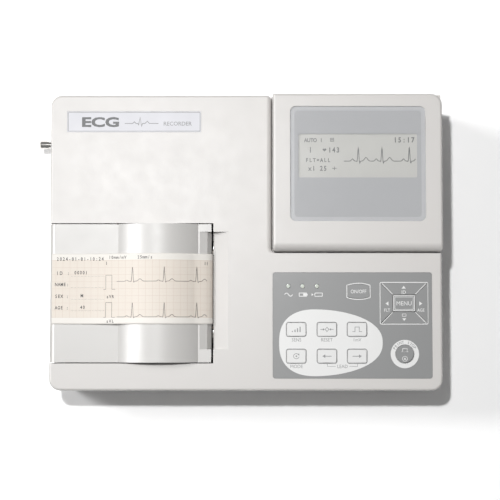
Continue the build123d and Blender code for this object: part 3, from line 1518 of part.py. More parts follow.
with BuildPart() as screws:
    case_head_z = foot_height + 2.5
    screw_group(case_screw_places, case_head_z, True, screw_head_height, 20)
    flat_head = 1.4
    screw_group(board_screw_places, board_top + flat_head, False, flat_head, 7)
    screw_group(supply_screw_places, supply_top + flat_head, False, flat_head, 5)
    screw_group(tub_screw_places, tub_floor_z + flat_head, False, flat_head, 4.4)
    under_keys = key_board_z - key_board_thickness
    screw_group(key_board_post_places, under_keys - flat_head, True, flat_head, 5)
    under_lcd = lcd_board_top - lcd_board_thickness
    screw_group(lcd_post_places, under_lcd - flat_head, True, flat_head, 3.6)
    screw_group(pod_post_places, shelf_z - wall - flat_head, True, flat_head, 9)
finish(screws, "screws")
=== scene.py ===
import json
import bpy
import numpy as np
from math import asin, cos, pi, radians, sin
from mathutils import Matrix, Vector
from mathutils.geometry import delaunay_2d_cdt

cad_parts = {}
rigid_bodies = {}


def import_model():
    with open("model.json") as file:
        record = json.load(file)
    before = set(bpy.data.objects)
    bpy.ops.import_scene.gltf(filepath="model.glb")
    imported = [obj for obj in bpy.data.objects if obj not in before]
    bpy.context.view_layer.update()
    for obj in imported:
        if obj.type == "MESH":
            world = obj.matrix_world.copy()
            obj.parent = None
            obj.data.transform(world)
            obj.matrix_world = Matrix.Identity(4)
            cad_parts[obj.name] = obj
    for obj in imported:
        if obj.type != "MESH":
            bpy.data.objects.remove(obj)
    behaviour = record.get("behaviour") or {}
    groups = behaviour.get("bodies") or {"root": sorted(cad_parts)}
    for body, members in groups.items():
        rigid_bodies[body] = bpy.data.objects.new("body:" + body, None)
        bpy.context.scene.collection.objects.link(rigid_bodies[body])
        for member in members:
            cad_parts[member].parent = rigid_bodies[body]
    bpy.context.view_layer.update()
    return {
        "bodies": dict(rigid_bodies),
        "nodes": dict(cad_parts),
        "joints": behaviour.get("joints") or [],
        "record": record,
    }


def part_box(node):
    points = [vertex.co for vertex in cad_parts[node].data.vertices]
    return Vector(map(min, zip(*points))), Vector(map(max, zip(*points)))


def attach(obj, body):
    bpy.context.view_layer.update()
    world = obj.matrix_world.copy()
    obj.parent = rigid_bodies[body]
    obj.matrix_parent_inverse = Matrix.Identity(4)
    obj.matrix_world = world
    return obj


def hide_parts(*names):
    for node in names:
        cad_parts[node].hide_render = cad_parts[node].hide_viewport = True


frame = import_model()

# A portable ECG recorder. Shapes are worked out in millimetres in the CAD model's frame and are
# put into meshes in metres.

mm = 0.001
node = frame["nodes"]


# Lowest and highest corners of a CAD node, in millimetres.
def boxOf(name):
    low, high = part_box(name)
    return np.array(low) / mm, np.array(high) / mm


# Camera, lights and floor.
stageValues = {
    "aim": (9.9, -5.7, 60.5),  # the point in the middle of the view
    "elevation": 86.4,
    "distance": 1000.0,
    "viewWidth": 354.5,  # how much of the deck's plane the view takes in
    "keyPlace": (-153.0, 185.0, 1296.0),
    "keySize": 50.0,
    "keyPower": 11.9,
    "sidePlace": (-1330.0, 520.0, 1460.0),
    "sideSize": 520.0,
    "sidePower": 17.0,
    "stripPlace": (-1450.0, 0.0, 1460.0),  # a glossy band along the recorder cover's bulge
    "stripSize": 420.0,
    "stripPower": 60.0,
    "skyStrength": 0.22,
    "floorSize": 6000.0,
    "floorGap": 0.02,  # how far the floor lies below the feet
    "floorGrey": 0.99,
    "floorRough": 0.9,
    "floorShine": 0.1,
}


# The camera looks down at the deck, the elevation above the floor and from the front.
def makeCamera(values):
    scene = bpy.context.scene
    scene.view_settings.view_transform = "Standard"
    camera = bpy.data.objects.new("camera", bpy.data.cameras.new("camera"))
    scene.collection.objects.link(camera)
    camera.data.sensor_width = 36.0
    camera.data.lens = camera.data.sensor_width * values["distance"] / values["viewWidth"]
    tilt = radians(values["elevation"])
    away = Vector((0, -cos(tilt), sin(tilt))) * values["distance"]
    camera.location = (Vector(values["aim"]) + away) * mm
    camera.rotation_euler = (pi / 2 - tilt, 0, 0)
    scene.camera = camera


# Three round lamps that face the aim, and an even sky. The strip lamp only shows in reflections.
def makeLights(values):
    scene = bpy.context.scene
    for name in ("key", "side", "strip"):
        lamp = bpy.data.objects.new(name + "Light", bpy.data.lights.new(name + "Light", "AREA"))
        lamp.data.shape = "DISK"
        lamp.data.size = values[name + "Size"] * mm
        lamp.data.energy = values[name + "Power"]
        scene.collection.objects.link(lamp)
        place = Vector(values[name + "Place"])
        heading = Vector(values["aim"]) - place
        lamp.location = place * mm
        lamp.rotation_euler = heading.to_track_quat("-Z", "Y").to_euler()
        lamp.visible_diffuse = name != "strip"

    world = bpy.data.worlds.new("softRoom")
    world.use_nodes = True
    back = world.node_tree.nodes["Background"]
    back.inputs["Color"].default_value = (1, 1, 1, 1)
    back.inputs["Strength"].default_value = values["skyStrength"]
    scene.world = world


# A plain square floor, which is not part of the object.
def makeFloor(values):
    half = values["floorSize"] * mm / 2
    under = -values["floorGap"] * mm
    sides = ((-1, -1), (1, -1), (1, 1), (-1, 1))
    mesh = bpy.data.meshes.new("floor")
    mesh.from_pydata([(x * half, y * half, under) for x, y in sides], [], [(0, 1, 2, 3)])
    floor = bpy.data.objects.new("floor", mesh)
    bpy.context.scene.collection.objects.link(floor)
    matte = bpy.data.materials.new("floorPaint")
    matte.use_nodes = True
    shader = matte.node_tree.nodes["Principled BSDF"]
    shader.inputs["Base Color"].default_value = (*[values["floorGrey"]] * 3, 1)
    shader.inputs["Roughness"].default_value = values["floorRough"]
    shader.inputs["Specular IOR Level"].default_value = values["floorShine"]
    mesh.materials.append(matte)


makeCamera(stageValues)
makeLights(stageValues)
makeFloor(stageValues)
print("stage ready")


# Materials.
stageLight = 1.42  # how much light the stage gives an upward face, as a share of full white


# The reflectance that shows as this 0-255 display colour under the stage's light.
def linear(r, g, b):
    c = np.array((r, g, b)) / 255
    c = np.where(c <= 0.04045, c / 12.92, ((c + 0.055) / 1.055) ** 2.4)
    return (*(c / stageLight), 1.0)


# Adds a node, sets its properties, and sets inputs named with a leading "in_".
def addNode(tree, kind, **values):
    added = tree.nodes.new(kind)
    for key, value in values.items():
        if key.startswith("in_"):
            added.inputs[key[3:].replace("_", " ")].default_value = value
        else:
            setattr(added, key, value)
    return added


# A surface with slow colour drift, a patchy gloss and a fine grain for bump. Colour moves between
# two shades by a low noise; roughness moves by a middle noise; height is a fine noise whose scale
# is one over the grain's size.
def grainy(name, look):
    material = bpy.data.materials.new(name)
    material.use_nodes = True
    tree = material.node_tree
    link = tree.links.new
    shader = tree.nodes["Principled BSDF"]
    shader.inputs["Metallic"].default_value = look.get("metal", 0.0)
    shader.inputs["IOR"].default_value = 1.49
    shader.inputs["Coat Weight"].default_value = look.get("coat", 0.0)
    shader.inputs["Coat Roughness"].default_value = look.get("coatRough", 0.1)
    shader.inputs["Subsurface Weight"].default_value = look.get("subsurface", 0.0)
    shader.inputs["Subsurface Radius"].default_value = (1.0, 0.9, 0.8)
    shader.inputs["Subsurface Scale"].default_value = mm
    place = addNode(tree, "ShaderNodeTexCoord").outputs["Object"]

    if "stretch" in look:
        turn = addNode(tree, "ShaderNodeMapping", in_Scale=look["stretch"])
        link(place, turn.inputs["Vector"])
        place = turn.outputs["Vector"]

    swing = look.get("drift", 0.03)
    drift = addNode(tree, "ShaderNodeTexNoise", in_Scale=1 / (look.get("driftSize", 60.0) * mm))
    drift.inputs["Detail"].default_value = 3.0
    shade = addNode(tree, "ShaderNodeMix", data_type="RGBA")
    colour = np.array(look["colour"][:3])
    shade.inputs[6].default_value = (*(colour * (1 - swing)), 1)
    shade.inputs[7].default_value = (*np.minimum(colour * (1 + swing), 1), 1)
    link(place, drift.inputs["Vector"])
    link(drift.outputs["Fac"], shade.inputs[0])
    link(shade.outputs[2], shader.inputs["Base Color"])

    patch = addNode(tree, "ShaderNodeTexNoise", in_Scale=1 / (look.get("patchSize", 9.0) * mm))
    spread = addNode(tree, "ShaderNodeMapRange")
    rough, sway = look["rough"], look.get("roughSway", 0.05)
    spread.inputs["To Min"].default_value = max(rough - sway, 0.02)
    spread.inputs["To Max"].default_value = rough + sway
    link(place, patch.inputs["Vector"])
    link(patch.outputs["Fac"], spread.inputs["Value"])
    link(spread.outputs["Result"], shader.inputs["Roughness"])

    if look.get("grainDepth", 0) > 0:
        grain = addNode(tree, "ShaderNodeTexNoise", in_Scale=1 / (look.get("grainSize", 0.5) * mm))
        grain.inputs["Detail"].default_value = 2.0
        bump = addNode(tree, "ShaderNodeBump", in_Distance=look["grainDepth"] * mm)
        bump.inputs["Strength"].default_value = 0.6
        link(place, grain.inputs["Vector"])
        link(grain.outputs["Fac"], bump.inputs["Height"])
        link(bump.outputs["Normal"], shader.inputs["Normal"])
    return material


looks = {
    "caseWhite": dict(colour=linear(223, 220, 217), rough=0.42, drift=0.012, grainSize=0.45,
                      grainDepth=0.02, subsurface=0.03),
    "coverWhite": dict(colour=linear(216, 214, 211), rough=0.4, drift=0.012, grainSize=0.45,
                       grainDepth=0.015, subsurface=0.03),
    "innerWhite": dict(colour=linear(206, 205, 200), rough=0.5, drift=0.03, grainSize=0.8,
                       grainDepth=0.03),
    "plateFilm": dict(colour=linear(220, 220, 226), rough=0.46, drift=0.01, grainSize=0.3,
                      grainDepth=0.008),
    "overlayGrey": dict(colour=linear(147, 148, 148), rough=0.42, drift=0.02, grainSize=0.3,
                        grainDepth=0.012),
    "keyWhite": dict(colour=linear(240, 240, 239), rough=0.4, drift=0.01, grainSize=0.3,
                     grainDepth=0.01),
    "lensGrey": dict(colour=linear(177, 178, 181), rough=0.16, roughSway=0.03, drift=0.015,
                     grainSize=0.25, grainDepth=0.003, coat=0.3, coatRough=0.05),
    "lensEdge": dict(colour=linear(192, 193, 196), rough=0.2, drift=0.015, grainSize=0.25,
                     grainDepth=0.003, coat=0.3, coatRough=0.05),
    "lcdGrey": dict(colour=linear(202, 201, 196), rough=0.22, drift=0.02, driftSize=25.0,
                    grainSize=0.33, grainDepth=0.004),
    "steelSheet": dict(colour=(0.60, 0.61, 0.62), metal=1.0, rough=0.34, drift=0.05,
                       stretch=(0.15, 1.0, 1.0), grainSize=0.6, grainDepth=0.006),
    "brightSteel": dict(colour=(0.72, 0.72, 0.73), metal=1.0, rough=0.2, drift=0.04,
                        grainSize=0.4, grainDepth=0.004),
    "aluminium": dict(colour=(0.74, 0.75, 0.76), metal=1.0, rough=0.38, drift=0.04,
                      grainSize=0.5, grainDepth=0.008),
    "nickel": dict(colour=(0.74, 0.72, 0.69), metal=1.0, rough=0.14, roughSway=0.06, drift=0.05,
                   driftSize=4.0, grainSize=0.3, grainDepth=0.003),
    "brass": dict(colour=(0.72, 0.52, 0.22), metal=1.0, rough=0.26, drift=0.06, driftSize=6.0,
                  grainSize=0.3, grainDepth=0.004),
    "boardGreen": dict(colour=(0.02, 0.13, 0.06), rough=0.3, drift=0.25, driftSize=3.0,
                       grainSize=0.7, grainDepth=0.01, coat=0.3),
    "blackPlastic": dict(colour=(0.018, 0.018, 0.02), rough=0.42, drift=0.1, grainSize=0.4,
                         grainDepth=0.015),
    "lampClear": dict(colour=linear(226, 232, 222), rough=0.18, drift=0.03, driftSize=2.0,
                      subsurface=0.2),
    "ceramic": dict(colour=(0.20, 0.16, 0.12), rough=0.12, drift=0.1, driftSize=8.0,
                    grainSize=0.3, grainDepth=0.002),
    "gearWhite": dict(colour=linear(232, 228, 216), rough=0.4, drift=0.03, grainSize=0.5,
                      grainDepth=0.01, subsurface=0.15),
    "rollerRubber": dict(colour=(0.022, 0.022, 0.024), rough=0.62, drift=0.15, grainSize=0.35,
                         grainDepth=0.02),
    "paperRoll": dict(colour=linear(246, 240, 232), rough=0.62, drift=0.03, driftSize=1.2,
                      stretch=(1.0, 0.08, 1.0), grainSize=0.25, grainDepth=0.01),
    "batterySleeve": dict(colour=(0.03, 0.06, 0.22), rough=0.3, drift=0.1, coat=0.4),
    "footRubber": dict(colour=(0.05, 0.05, 0.05), rough=0.7, drift=0.15, grainSize=0.5,
                       grainDepth=0.03),
    "inkWhite": dict(colour=linear(244, 244, 243), rough=0.42, drift=0.01, grainSize=0.3,
                     grainDepth=0.006),
    "inkGrey": dict(colour=linear(150, 151, 152), rough=0.45, drift=0.03, grainSize=0.3,
                    grainDepth=0.004),
    "inkDark": dict(colour=linear(70, 72, 75), rough=0.45, drift=0.05, grainSize=0.3,
                    grainDepth=0.004),
    "lcdInk": dict(colour=linear(38, 40, 44), rough=0.3, drift=0.1, driftSize=2.0),
    "printInk": dict(colour=linear(52, 48, 48), rough=0.6, drift=0.2, driftSize=1.0),
    "traceInk": dict(colour=linear(104, 97, 94), rough=0.6, drift=0.2, driftSize=1.0),
}
made = {name: grainy(name, look) for name, look in looks.items()}


# A thin clear sheet: mostly see-through, with a sharp reflection that grows at a slant.
def clearPane(name):
    material = bpy.data.materials.new(name)
    material.use_nodes = True
    tree = material.node_tree
    shader = tree.nodes["Principled BSDF"]
    shader.inputs["Base Color"].default_value = (0.95, 0.96, 0.96, 1)
    shader.inputs["Roughness"].default_value = 0.03
    shader.inputs["Alpha"].default_value = 0.08
    wave = addNode(tree, "ShaderNodeTexNoise", in_Scale=60.0)
    place = addNode(tree, "ShaderNodeTexCoord")
    bump = addNode(tree, "ShaderNodeBump", in_Distance=0.02 * mm, in_Strength=0.05)
    tree.links.new(place.outputs["Object"], wave.inputs["Vector"])
    tree.links.new(wave.outputs["Fac"], bump.inputs["Height"])
    tree.links.new(bump.outputs["Normal"], shader.inputs["Normal"])
    return material


made["clearPane"] = clearPane("clearPane")

finishes = {
    "caseWhite": ["bottom_case", "top_case", "display_housing", "battery_door"],
    "coverWhite": ["recorder_cover", "tear_bar"],
    "innerWhite": ["paper_tray", "roll_spindle"],
    "lcdGrey": ["lcd_glass"],
    "steelSheet": ["lcd_frame", "recorder_frame", "drive_motor"],
    "boardGreen": ["lcd_board", "keypad_board", "main_board", "power_board"],
    "plateFilm": ["nameplate"],
    "overlayGrey": ["keypad_overlay", "key_on_off", "key_menu", "key_up", "key_down", "key_left",
                    "key_right", "key_print_stop"],
    "keyWhite": ["key_sens", "key_reset", "key_calibrate", "key_mode", "key_lead_back",
                 "key_lead_next"],
    "blackPlastic": ["key_switches", "board_chips", "power_parts", "mains_inlet",
                     "switch_housing", "switch_rocker", "signal_socket", "speaker"],
    "lampClear": ["indicator_lamps"],
    "brightSteel": ["hinge_pin", "frame_pins", "head_springs", "platen_shaft", "screws"],
    "ceramic": ["print_head"],
    "aluminium": ["head_heatsink"],
    "brass": ["motor_pinion", "platen_bushes"],
    "gearWhite": ["idler_gear", "platen_gear"],
    "rollerRubber": ["platen_rubber"],
    "paperRoll": ["paper_roll"],
    "batterySleeve": ["battery_pack"],
    "nickel": ["earth_stud", "patient_socket", "serial_socket"],
    "footRubber": ["rubber_feet"],
}


# Gives an object one material, in place of any it has.
def paint(piece, material):
    piece.data.materials.clear()
    piece.data.materials.append(material)


for finish, names in finishes.items():
    for name in names:
        paint(node[name], made[finish])
print("materials ready")


# Flat shapes. Each is (points, faces): an N x 2 array in millimetres and lists of point numbers,
# wound anticlockwise.

# Outline of a box with round corners, anticlockwise: a quarter circle at each corner.
def roundBox(x, y, width, height, radius, steps=6):
    corner = np.repeat(np.arange(4), steps + 1)
    angle = (corner + np.tile(np.linspace(0, 1, steps + 1), 4)) * pi / 2
    across = np.where((corner == 0) | (corner == 3), 1, -1) * (width / 2 - radius)
    up = np.where(corner < 2, 1, -1) * (height / 2 - radius)
    return np.column_stack(
        (x + across + radius * np.cos(angle), y + up + radius * np.sin(angle))
    )


# Outline of a circle: the radius times the cosine and sine of an even run of angles.
def ringOutline(x, y, radius, steps=48):
    angle = np.arange(steps) * 2 * pi / steps
    return np.column_stack((x + radius * np.cos(angle), y + radius * np.sin(angle)))


# An outline filled with one fan of triangles round its mean point.
def filled(outline):
    outline = np.asarray(outline, float)
    count = len(outline)
    points = np.vstack((outline, outline.mean(0)))
    faces = [(k, (k + 1) % count, count) for k in range(count)]
    return points, faces


# The band between two outlines of as many points.
def between(outer, inner):
    count = len(outer)
    faces = [(k, (k + 1) % count, count + (k + 1) % count, count + k) for k in range(count)]
    return np.vstack((outer, inner)), faces


# A vector array with each row made one long.
def unit(rows):
    return rows / np.maximum(np.linalg.norm(rows, axis=1, keepdims=True), 1e-9)


# A line of even width along a path: each point moves along its mitre, the mean of its two sides'
# normals, by half the width over the cosine of half the turn. A sharp turn's mitre is held short.
def stroke(path, width, closed=False):
    path = np.asarray(path, float)
    ahead = np.roll(path, -1, 0) - path
    if not closed:
        ahead[-1] = ahead[-2]
    behind = np.roll(ahead, 1, 0)
    if not closed:
        behind[0] = ahead[0]
    normal = [np.column_stack((-side[:, 1], side[:, 0])) for side in (unit(ahead), unit(behind))]
    mitre = unit(normal[0] + normal[1])
    reach = width / 2 / np.clip((mitre * normal[0]).sum(1, keepdims=True), 0.35, 1)
    left, right = path + mitre * reach, path - mitre * reach
    count = len(path)
    faces = [
        (count + k, count + (k + 1) % count, (k + 1) % count, k)
        for k in range(count if closed else count - 1)
    ]
    return np.vstack((left, right)), faces


letterValues = {"capHeight": 0.73,  # of the built-in font, as a share of its size
                "leastArea": 1e-3}  # square millimetres, under which a face is a sliver


# Faces turned anticlockwise, without the slivers. Area is half the sum of x times the next y less
# y times the next x.
def upright(points, faces):
    kept = []
    for face in faces:
        x, y = points[list(face)].T
        area = 0.5 * (x * np.roll(y, -1) - y * np.roll(x, -1)).sum()
        if abs(area) > letterValues["leastArea"]:
            kept.append(face if area > 0 else face[::-1])
    return kept


# A line of lettering with capitals of that height, its baseline at y.
def wording(text, x, y, height, align="CENTER", bold=0.0, wide=1.0):
    curve = bpy.data.curves.new("wording", "FONT")
    curve.body = text
    curve.align_x = align
    curve.offset = bold
    curve.resolution_u = 3
    holder = bpy.data.objects.new("wording", curve)
    bpy.context.scene.collection.objects.link(holder)
    bpy.context.view_layer.update()
    mesh = bpy.data.meshes.new_from_object(
        holder.evaluated_get(bpy.context.evaluated_depsgraph_get())
    )
    points = np.zeros(len(mesh.vertices) * 3)
    mesh.vertices.foreach_get("co", points)
    points = points.reshape(-1, 3)[:, :2] * (height / letterValues["capHeight"])
    faces = upright(points, [tuple(p.vertices) for p in mesh.polygons])
    bpy.data.objects.remove(holder)
    bpy.data.curves.remove(curve)
    bpy.data.meshes.remove(mesh)
    return points * (wide, 1) + (x, y), faces


# Lettering of even pitch from x onwards, as a small printer sets it.
def typed(text, x, y, height, pitch, bold=0.015, wide=0.8):
    letters = [
        wording(letter, x + (k + 0.5) * pitch, y, height, "CENTER", bold, wide)
        for k, letter in enumerate(text) if letter != " "
    ]
    return together(*letters)


# Several flat shapes as one.
def together(*shapes):
    points, faces, start = [], [], 0
    for shapePoints, shapeFaces in shapes:
        points.append(shapePoints)
        faces += [tuple(start + k for k in face) for face in shapeFaces]
        start += len(shapePoints)
    return np.vstack(points), faces


# A flat shape turned about its origin and then moved.
def turned(shape, angle, x, y):
    points, faces = shape
    c, s = cos(angle), sin(angle)
    return points @ np.array(((c, s), (-s, c))) + (x, y), faces


# A mesh piece from points in millimetres, riding on a CAD body.
def putMesh(name, points, faces, material, body, smooth=False):
    mesh = bpy.data.meshes.new(name)
    mesh.from_pydata((np.asarray(points) * mm).tolist(), [], faces)
    mesh.update()
    if smooth:
        mesh.polygons.foreach_set("use_smooth", np.ones(len(mesh.polygons), bool))
    piece = bpy.data.objects.new(name, mesh)
    bpy.context.scene.collection.objects.link(piece)
    mesh.materials.append(material)
    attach(piece, body)
    return piece


# Gives a flat piece its thickness, on the side that it faces or on the other.
def thicken(piece, thickness, outwards=True):
    thick = piece.modifiers.new("depth", "SOLIDIFY")
    thick.thickness = thickness * mm
    thick.offset = 1.0 if outwards else -1.0


inkValues = {"depth": 0.03, "gap": 0.005}  # the ink's thickness, and the gap under it


# Printing on a flat face at that height: the shape, made as thick as the ink.
def layInk(name, shape, level, ink, body):
    points, faces = shape
    points = np.column_stack((points, np.full(len(points), level + inkValues["gap"])))
    thicken(putMesh(name, points, faces, made[ink], body), inkValues["depth"])


# Name plate: a thin border, a bold title, a pulse line and a note.
plateLow, plateHigh = boxOf("nameplate")
plateValues = {
    "borderInset": 0.5, "borderWidth": 0.4, "borderRadius": 0.6,
    "title": "ECG", "titleHeight": 6.8, "titleStart": 10.0,
    "note": "RECORDER", "noteHeight": 2.9, "noteStart": 68.5, "noteRise": 0.7,
    "pulseStart": 41.0, "pulseDrop": 1.2, "pulseWidth": 0.55, "pulseScale": (0.8, 0.82),
    "pulse": [(0, 0), (7, 0), (8.5, 1.4), (10, 0), (11.5, 0), (12.3, -1.2), (13.6, 5.2),
              (14.9, -2.4), (15.8, 0), (18, 0), (20, 1.9), (22, 0), (30, 0)],
}


# The border is the band between two rounded boxes, and the pulse is a stroke through its points.
def makeNameplate(values):
    x, y = ((plateLow + plateHigh) / 2)[:2]
    width, height = (plateHigh - plateLow)[:2] - 2 * values["borderInset"]
    line = 2 * values["borderWidth"]
    outer = roundBox(x, y, width, height, values["borderRadius"])
    inner = roundBox(x, y, width - line, height - line, values["borderRadius"] / 2)
    layInk("plateBorder", between(outer, inner), plateHigh[2], "inkGrey", "housing")

    left = plateLow[0]
    baseline = y - values["titleHeight"] / 2
    title = wording(values["title"], left + values["titleStart"], baseline,
                    values["titleHeight"], "LEFT", 0.04, 1.5)
    layInk("plateTitle", title, plateHigh[2], "inkDark", "housing")
    pulse = np.array(values["pulse"]) * values["pulseScale"]
    pulse += (left + values["pulseStart"], y - values["pulseDrop"])
    note = wording(values["note"], left + values["noteStart"], baseline + values["noteRise"],
                   values["noteHeight"], "LEFT", 0.012)
    layInk("plateNote", together(stroke(pulse, values["pulseWidth"]), note), plateHigh[2],
           "inkGrey", "housing")


makeNameplate(plateValues)
print("name plate ready")


# Display: a clear pane, with a grey print under it round the window.
lensLow, lensHigh = boxOf("display_lens")
glassHigh = boxOf("lcd_glass")[1]
displayValues = {
    "left": 44.2, "right": 128.1, "front": 45.3, "rear": 76.4,  # the window in the print
    "windowRadius": 1.2,
    "cornerRadius": 4.0,
    "bevel": 0.35,
    "border": 3.0,  # width of the lighter band along the edge
    "printDepth": 0.1,
    "paneGap": 0.02,
    "steps": 12,
}


# The pane is a rounded box of two rings of sides, the upper one a bevel.
def makePane(values):
    x, y = ((lensLow + lensHigh) / 2)[:2]
    width, height = (lensHigh - lensLow)[:2]
    radius, bevel = values["cornerRadius"], values["bevel"]
    outer = roundBox(x, y, width, height, radius, values["steps"])
    inset = roundBox(x, y, width - 2 * bevel, height - 2 * bevel, radius - bevel, values["steps"])
    base = lensLow[2] + values["printDepth"] + values["paneGap"]
    rings = [(outer, base), (outer, lensHigh[2] - bevel), (inset, lensHigh[2])]
    count = len(outer)
    points = np.vstack([np.column_stack((ring, np.full(count, z))) for ring, z in rings])
    faces = [
        (r * count + k, r * count + (k + 1) % count, (r + 1) * count + (k + 1) % count,
         (r + 1) * count + k)
        for r in range(2) for k in range(count)
    ]
    faces += [tuple(range(count - 1, -1, -1)), tuple(range(2 * count, 3 * count))]
    pane = putMesh("lensPane", points, faces, made["clearPane"], "housing")
    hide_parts("display_lens")


# The print is two bands: a lighter one along the edge and a darker one in to the window.
def makeLensPrint(values):
    x, y = ((lensLow + lensHigh) / 2)[:2]
    width, height = (lensHigh - lensLow)[:2]
    radius, border, steps = values["cornerRadius"], values["border"], values["steps"]
    outer = roundBox(x, y, width, height, radius, steps)
    rim = roundBox(x, y, width - 2 * border, height - 2 * border, radius - border / 2, steps)
    left, right, front, rear = (values[side] for side in ("left", "right", "front", "rear"))
    window = roundBox((left + right) / 2, (front + rear) / 2, right - left, rear - front,
                      values["windowRadius"], steps)
    for name, shape, finish in (("lensEdge", between(outer, rim), "lensEdge"),
                                ("lensPrint", between(rim, window), "lensGrey")):
        flat, faces = shape
        points = np.column_stack((flat, np.full(len(flat), lensLow[2] + inkValues["gap"])))
        backing = putMesh(name, points, faces, made[finish], "housing")
        thicken(backing, values["printDepth"])
        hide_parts("display_lens")


makePane(displayValues)
makeLensPrint(displayValues)


# A heart: x is 16 sin cubed, and y is 13 cos, less 5, 2 and 1 times cos of twice, three times and
# four times the angle.
def heart(x, y, size):
    t = np.linspace(0, 2 * pi, 36, endpoint=False)[::-1]
    across = 16 * np.sin(t) ** 3
    up = 13 * np.cos(t) - 5 * np.cos(2 * t) - 2 * np.cos(3 * t) - np.cos(4 * t)
    return filled(np.column_stack((x + across * size / 32, y + up * size / 32)))


beatShape = ((-4.1, 1.0), (-0.9, 0.35), (0.0, 0.5), (0.9, 0.4), (5.4, 1.5))  # place and width


# A heart trace. Each beat adds its P, Q, R, S and T waves: a wave is its height times exp of minus
# the square of the distance from its place over its width.
def beatLine(beats, base, start, end, heights, pitch):
    x = np.arange(start, end, pitch)
    y = np.zeros_like(x)
    for beat in beats:
        for (shift, width), height in zip(beatShape, heights):
            y += height * np.exp(-((x - beat - shift) / width) ** 2)
    return np.column_stack((x, base + y))


# Readings on the glass. A place is how far right of the window's left edge and how far in front of
# its rear edge it is. A word has its place, its height and its pitch.
readingValues = {
    "words": (("AUTO I", 4.06, 5.79, 2.8, 2.2), ("15:17", 67.14, 5.95, 3.7, 3.1),
              ("I", 7.31, 13.12, 3.9, 2.4), ("143", 20.75, 13.12, 3.7, 2.9),
              ("FLT=ALL", 4.71, 19.95, 2.8, 2.6), ("x1 25", 6.75, 26.14, 3.5, 2.7)),
    "heart": (18.47, 11.33, 2.6),
    "box": (23.84, 4.16),
    "cross": (25.47, 24.51),
    "beats": (42.40, 59.17, 78.54),
    "trace": (32.14, 83.02, 19.38),  # start, end and level
    "waves": (1.6, -0.5, 10.0, -1.7, 2.6),
    "traceWidth": 0.55,
    "tracePitch": 0.25,
    "markWidth": 0.4,
}


def inWindow(right, down):
    return displayValues["left"] + right, displayValues["rear"] - down


# What the display shows: words, marks and a running heart trace.
def makeReadings(values):
    shapes = [typed(text, *inWindow(right, down), height, pitch, 0.03, 0.85)
              for text, right, down, height, pitch in values["words"]]
    right, down, size = values["heart"]
    shapes.append(heart(*inWindow(right, down), size))
    line = values["markWidth"]
    x, y = inWindow(*values["box"])
    shapes.append(stroke(roundBox(x, y, 2.4, 2.2, 0.1, 1), line, True))
    shapes.append(filled(roundBox(x, y, 1.1, 0.9, 0.1, 1)))
    x, y = inWindow(*values["cross"])
    shapes.append(stroke([(x - 1.6, y), (x + 1.6, y)], line))
    shapes.append(stroke([(x, y - 1.3), (x, y + 1.3)], line))
    start, end, down = values["trace"]
    beats = [inWindow(right, 0)[0] for right in values["beats"]]
    trace = beatLine(beats, inWindow(0, down)[1], inWindow(start, 0)[0], inWindow(end, 0)[0],
                     values["waves"], values["tracePitch"])
    shapes.append(stroke(trace, values["traceWidth"]))
    layInk("lcdReadings", together(*shapes), glassHigh[2], "lcdInk", "housing")


makeReadings(readingValues)
print("display ready")


# Keypad. A place on it is how far right of the overlay's left edge and how far in front of its
# rear edge it is.
padLow, padHigh = boxOf("keypad_overlay")
fieldKeys = ("sens", "reset", "calibrate", "mode", "lead_back", "lead_next")
otherKeys = ("on_off", "menu", "up", "down", "left", "right", "print_stop")
keyBox = {name: boxOf("key_" + name) for name in fieldKeys + otherKeys}
keyMiddle = {name: ((low + high) / 2)[:2] for name, (low, high) in keyBox.items()}
keySize = {name: (high - low)[:2] for name, (low, high) in keyBox.items()}

padValues = {
    "field": (4.47, 77.67, 26.17, 73.25),  # left, right, rear and front of the white field
    "fieldWaist": 30.19,  # where its two half ellipses meet
    "keyGap": 0.55,  # how much wider than its key each hole in the field is
    "holeRadius": 1.55,
    "frameWidth": 0.38,
    "frameGap": 0.32,
    "labels": (("SENS", 16.74, 48.80), ("RESET", 38.11, 48.80), ("1mV", 59.55, 48.80),
               ("MODE", 16.74, 67.55), ("LEAD", 49.18, 67.55)),
    "labelHeight": 2.5,
    "leadLines": ((38.50, 44.28), (59.87, 54.09)),  # each line's outer and inner end
    "leadRows": (64.58, 66.37),  # where the lines start and where they turn
    "leadWidth": 0.28,
    "lampSigns": ((11.20, 15.72), (21.33, 15.72), (31.46, 15.72)),
    "signWidth": 0.5,
    "powerRise": 1.4,  # how far the power key's outline bulges
    "powerGap": 0.42,
    "powerWidth": 0.6,
    "arrowGap": 0.35,
    "arrowWidth": 0.62,
    "ring": (93.26, 57.66),
    "ringRadii": (10.0, 6.75),
    "ringWords": (("PRINT", 0.62), ("STOP", -0.66)),  # each word and its turn
    "ringPitch": 0.225,
    "ringBaseline": 7.45,
    "ringHeight": 1.9,
}


def onPad(right, down):
    return padLow[0] + right, padHigh[1] - down


# The white field's outline: two half ellipses of their own lengths that meet at the waist. Their
# cosine and sine are raised to powers near 1, which make the left one fuller than the right.
def eggOutline(values, steps=120):
    left, right, rear, front = values["field"]
    angle = np.arange(steps) * 2 * pi / steps
    c, s = np.cos(angle), np.sin(angle)
    rightSide = c >= 0
    reach = np.where(rightSide, right - values["fieldWaist"], values["fieldWaist"] - left)
    across = reach * np.sign(c) * np.abs(c) ** np.where(rightSide, 1.05, 0.85)
    up = (front - rear) / 2 * np.sign(s) * np.abs(s) ** np.where(rightSide, 0.86, 0.8)
    x, y = onPad(values["fieldWaist"], (front + rear) / 2)
    return np.column_stack((x + across, y + up))


# Whether a point lies inside a loop, by counting the sides that cross a ray from it.
def within(point, loop):
    x, y = point
    ax, ay = loop.T
    bx, by = np.roll(loop, -1, 0).T
    crosses = (ay > y) != (by > y)
    with np.errstate(divide="ignore", invalid="ignore"):
        at = ax + (y - ay) * (bx - ax) / (by - ay)
    return int((crosses & (x < at)).sum() % 2)


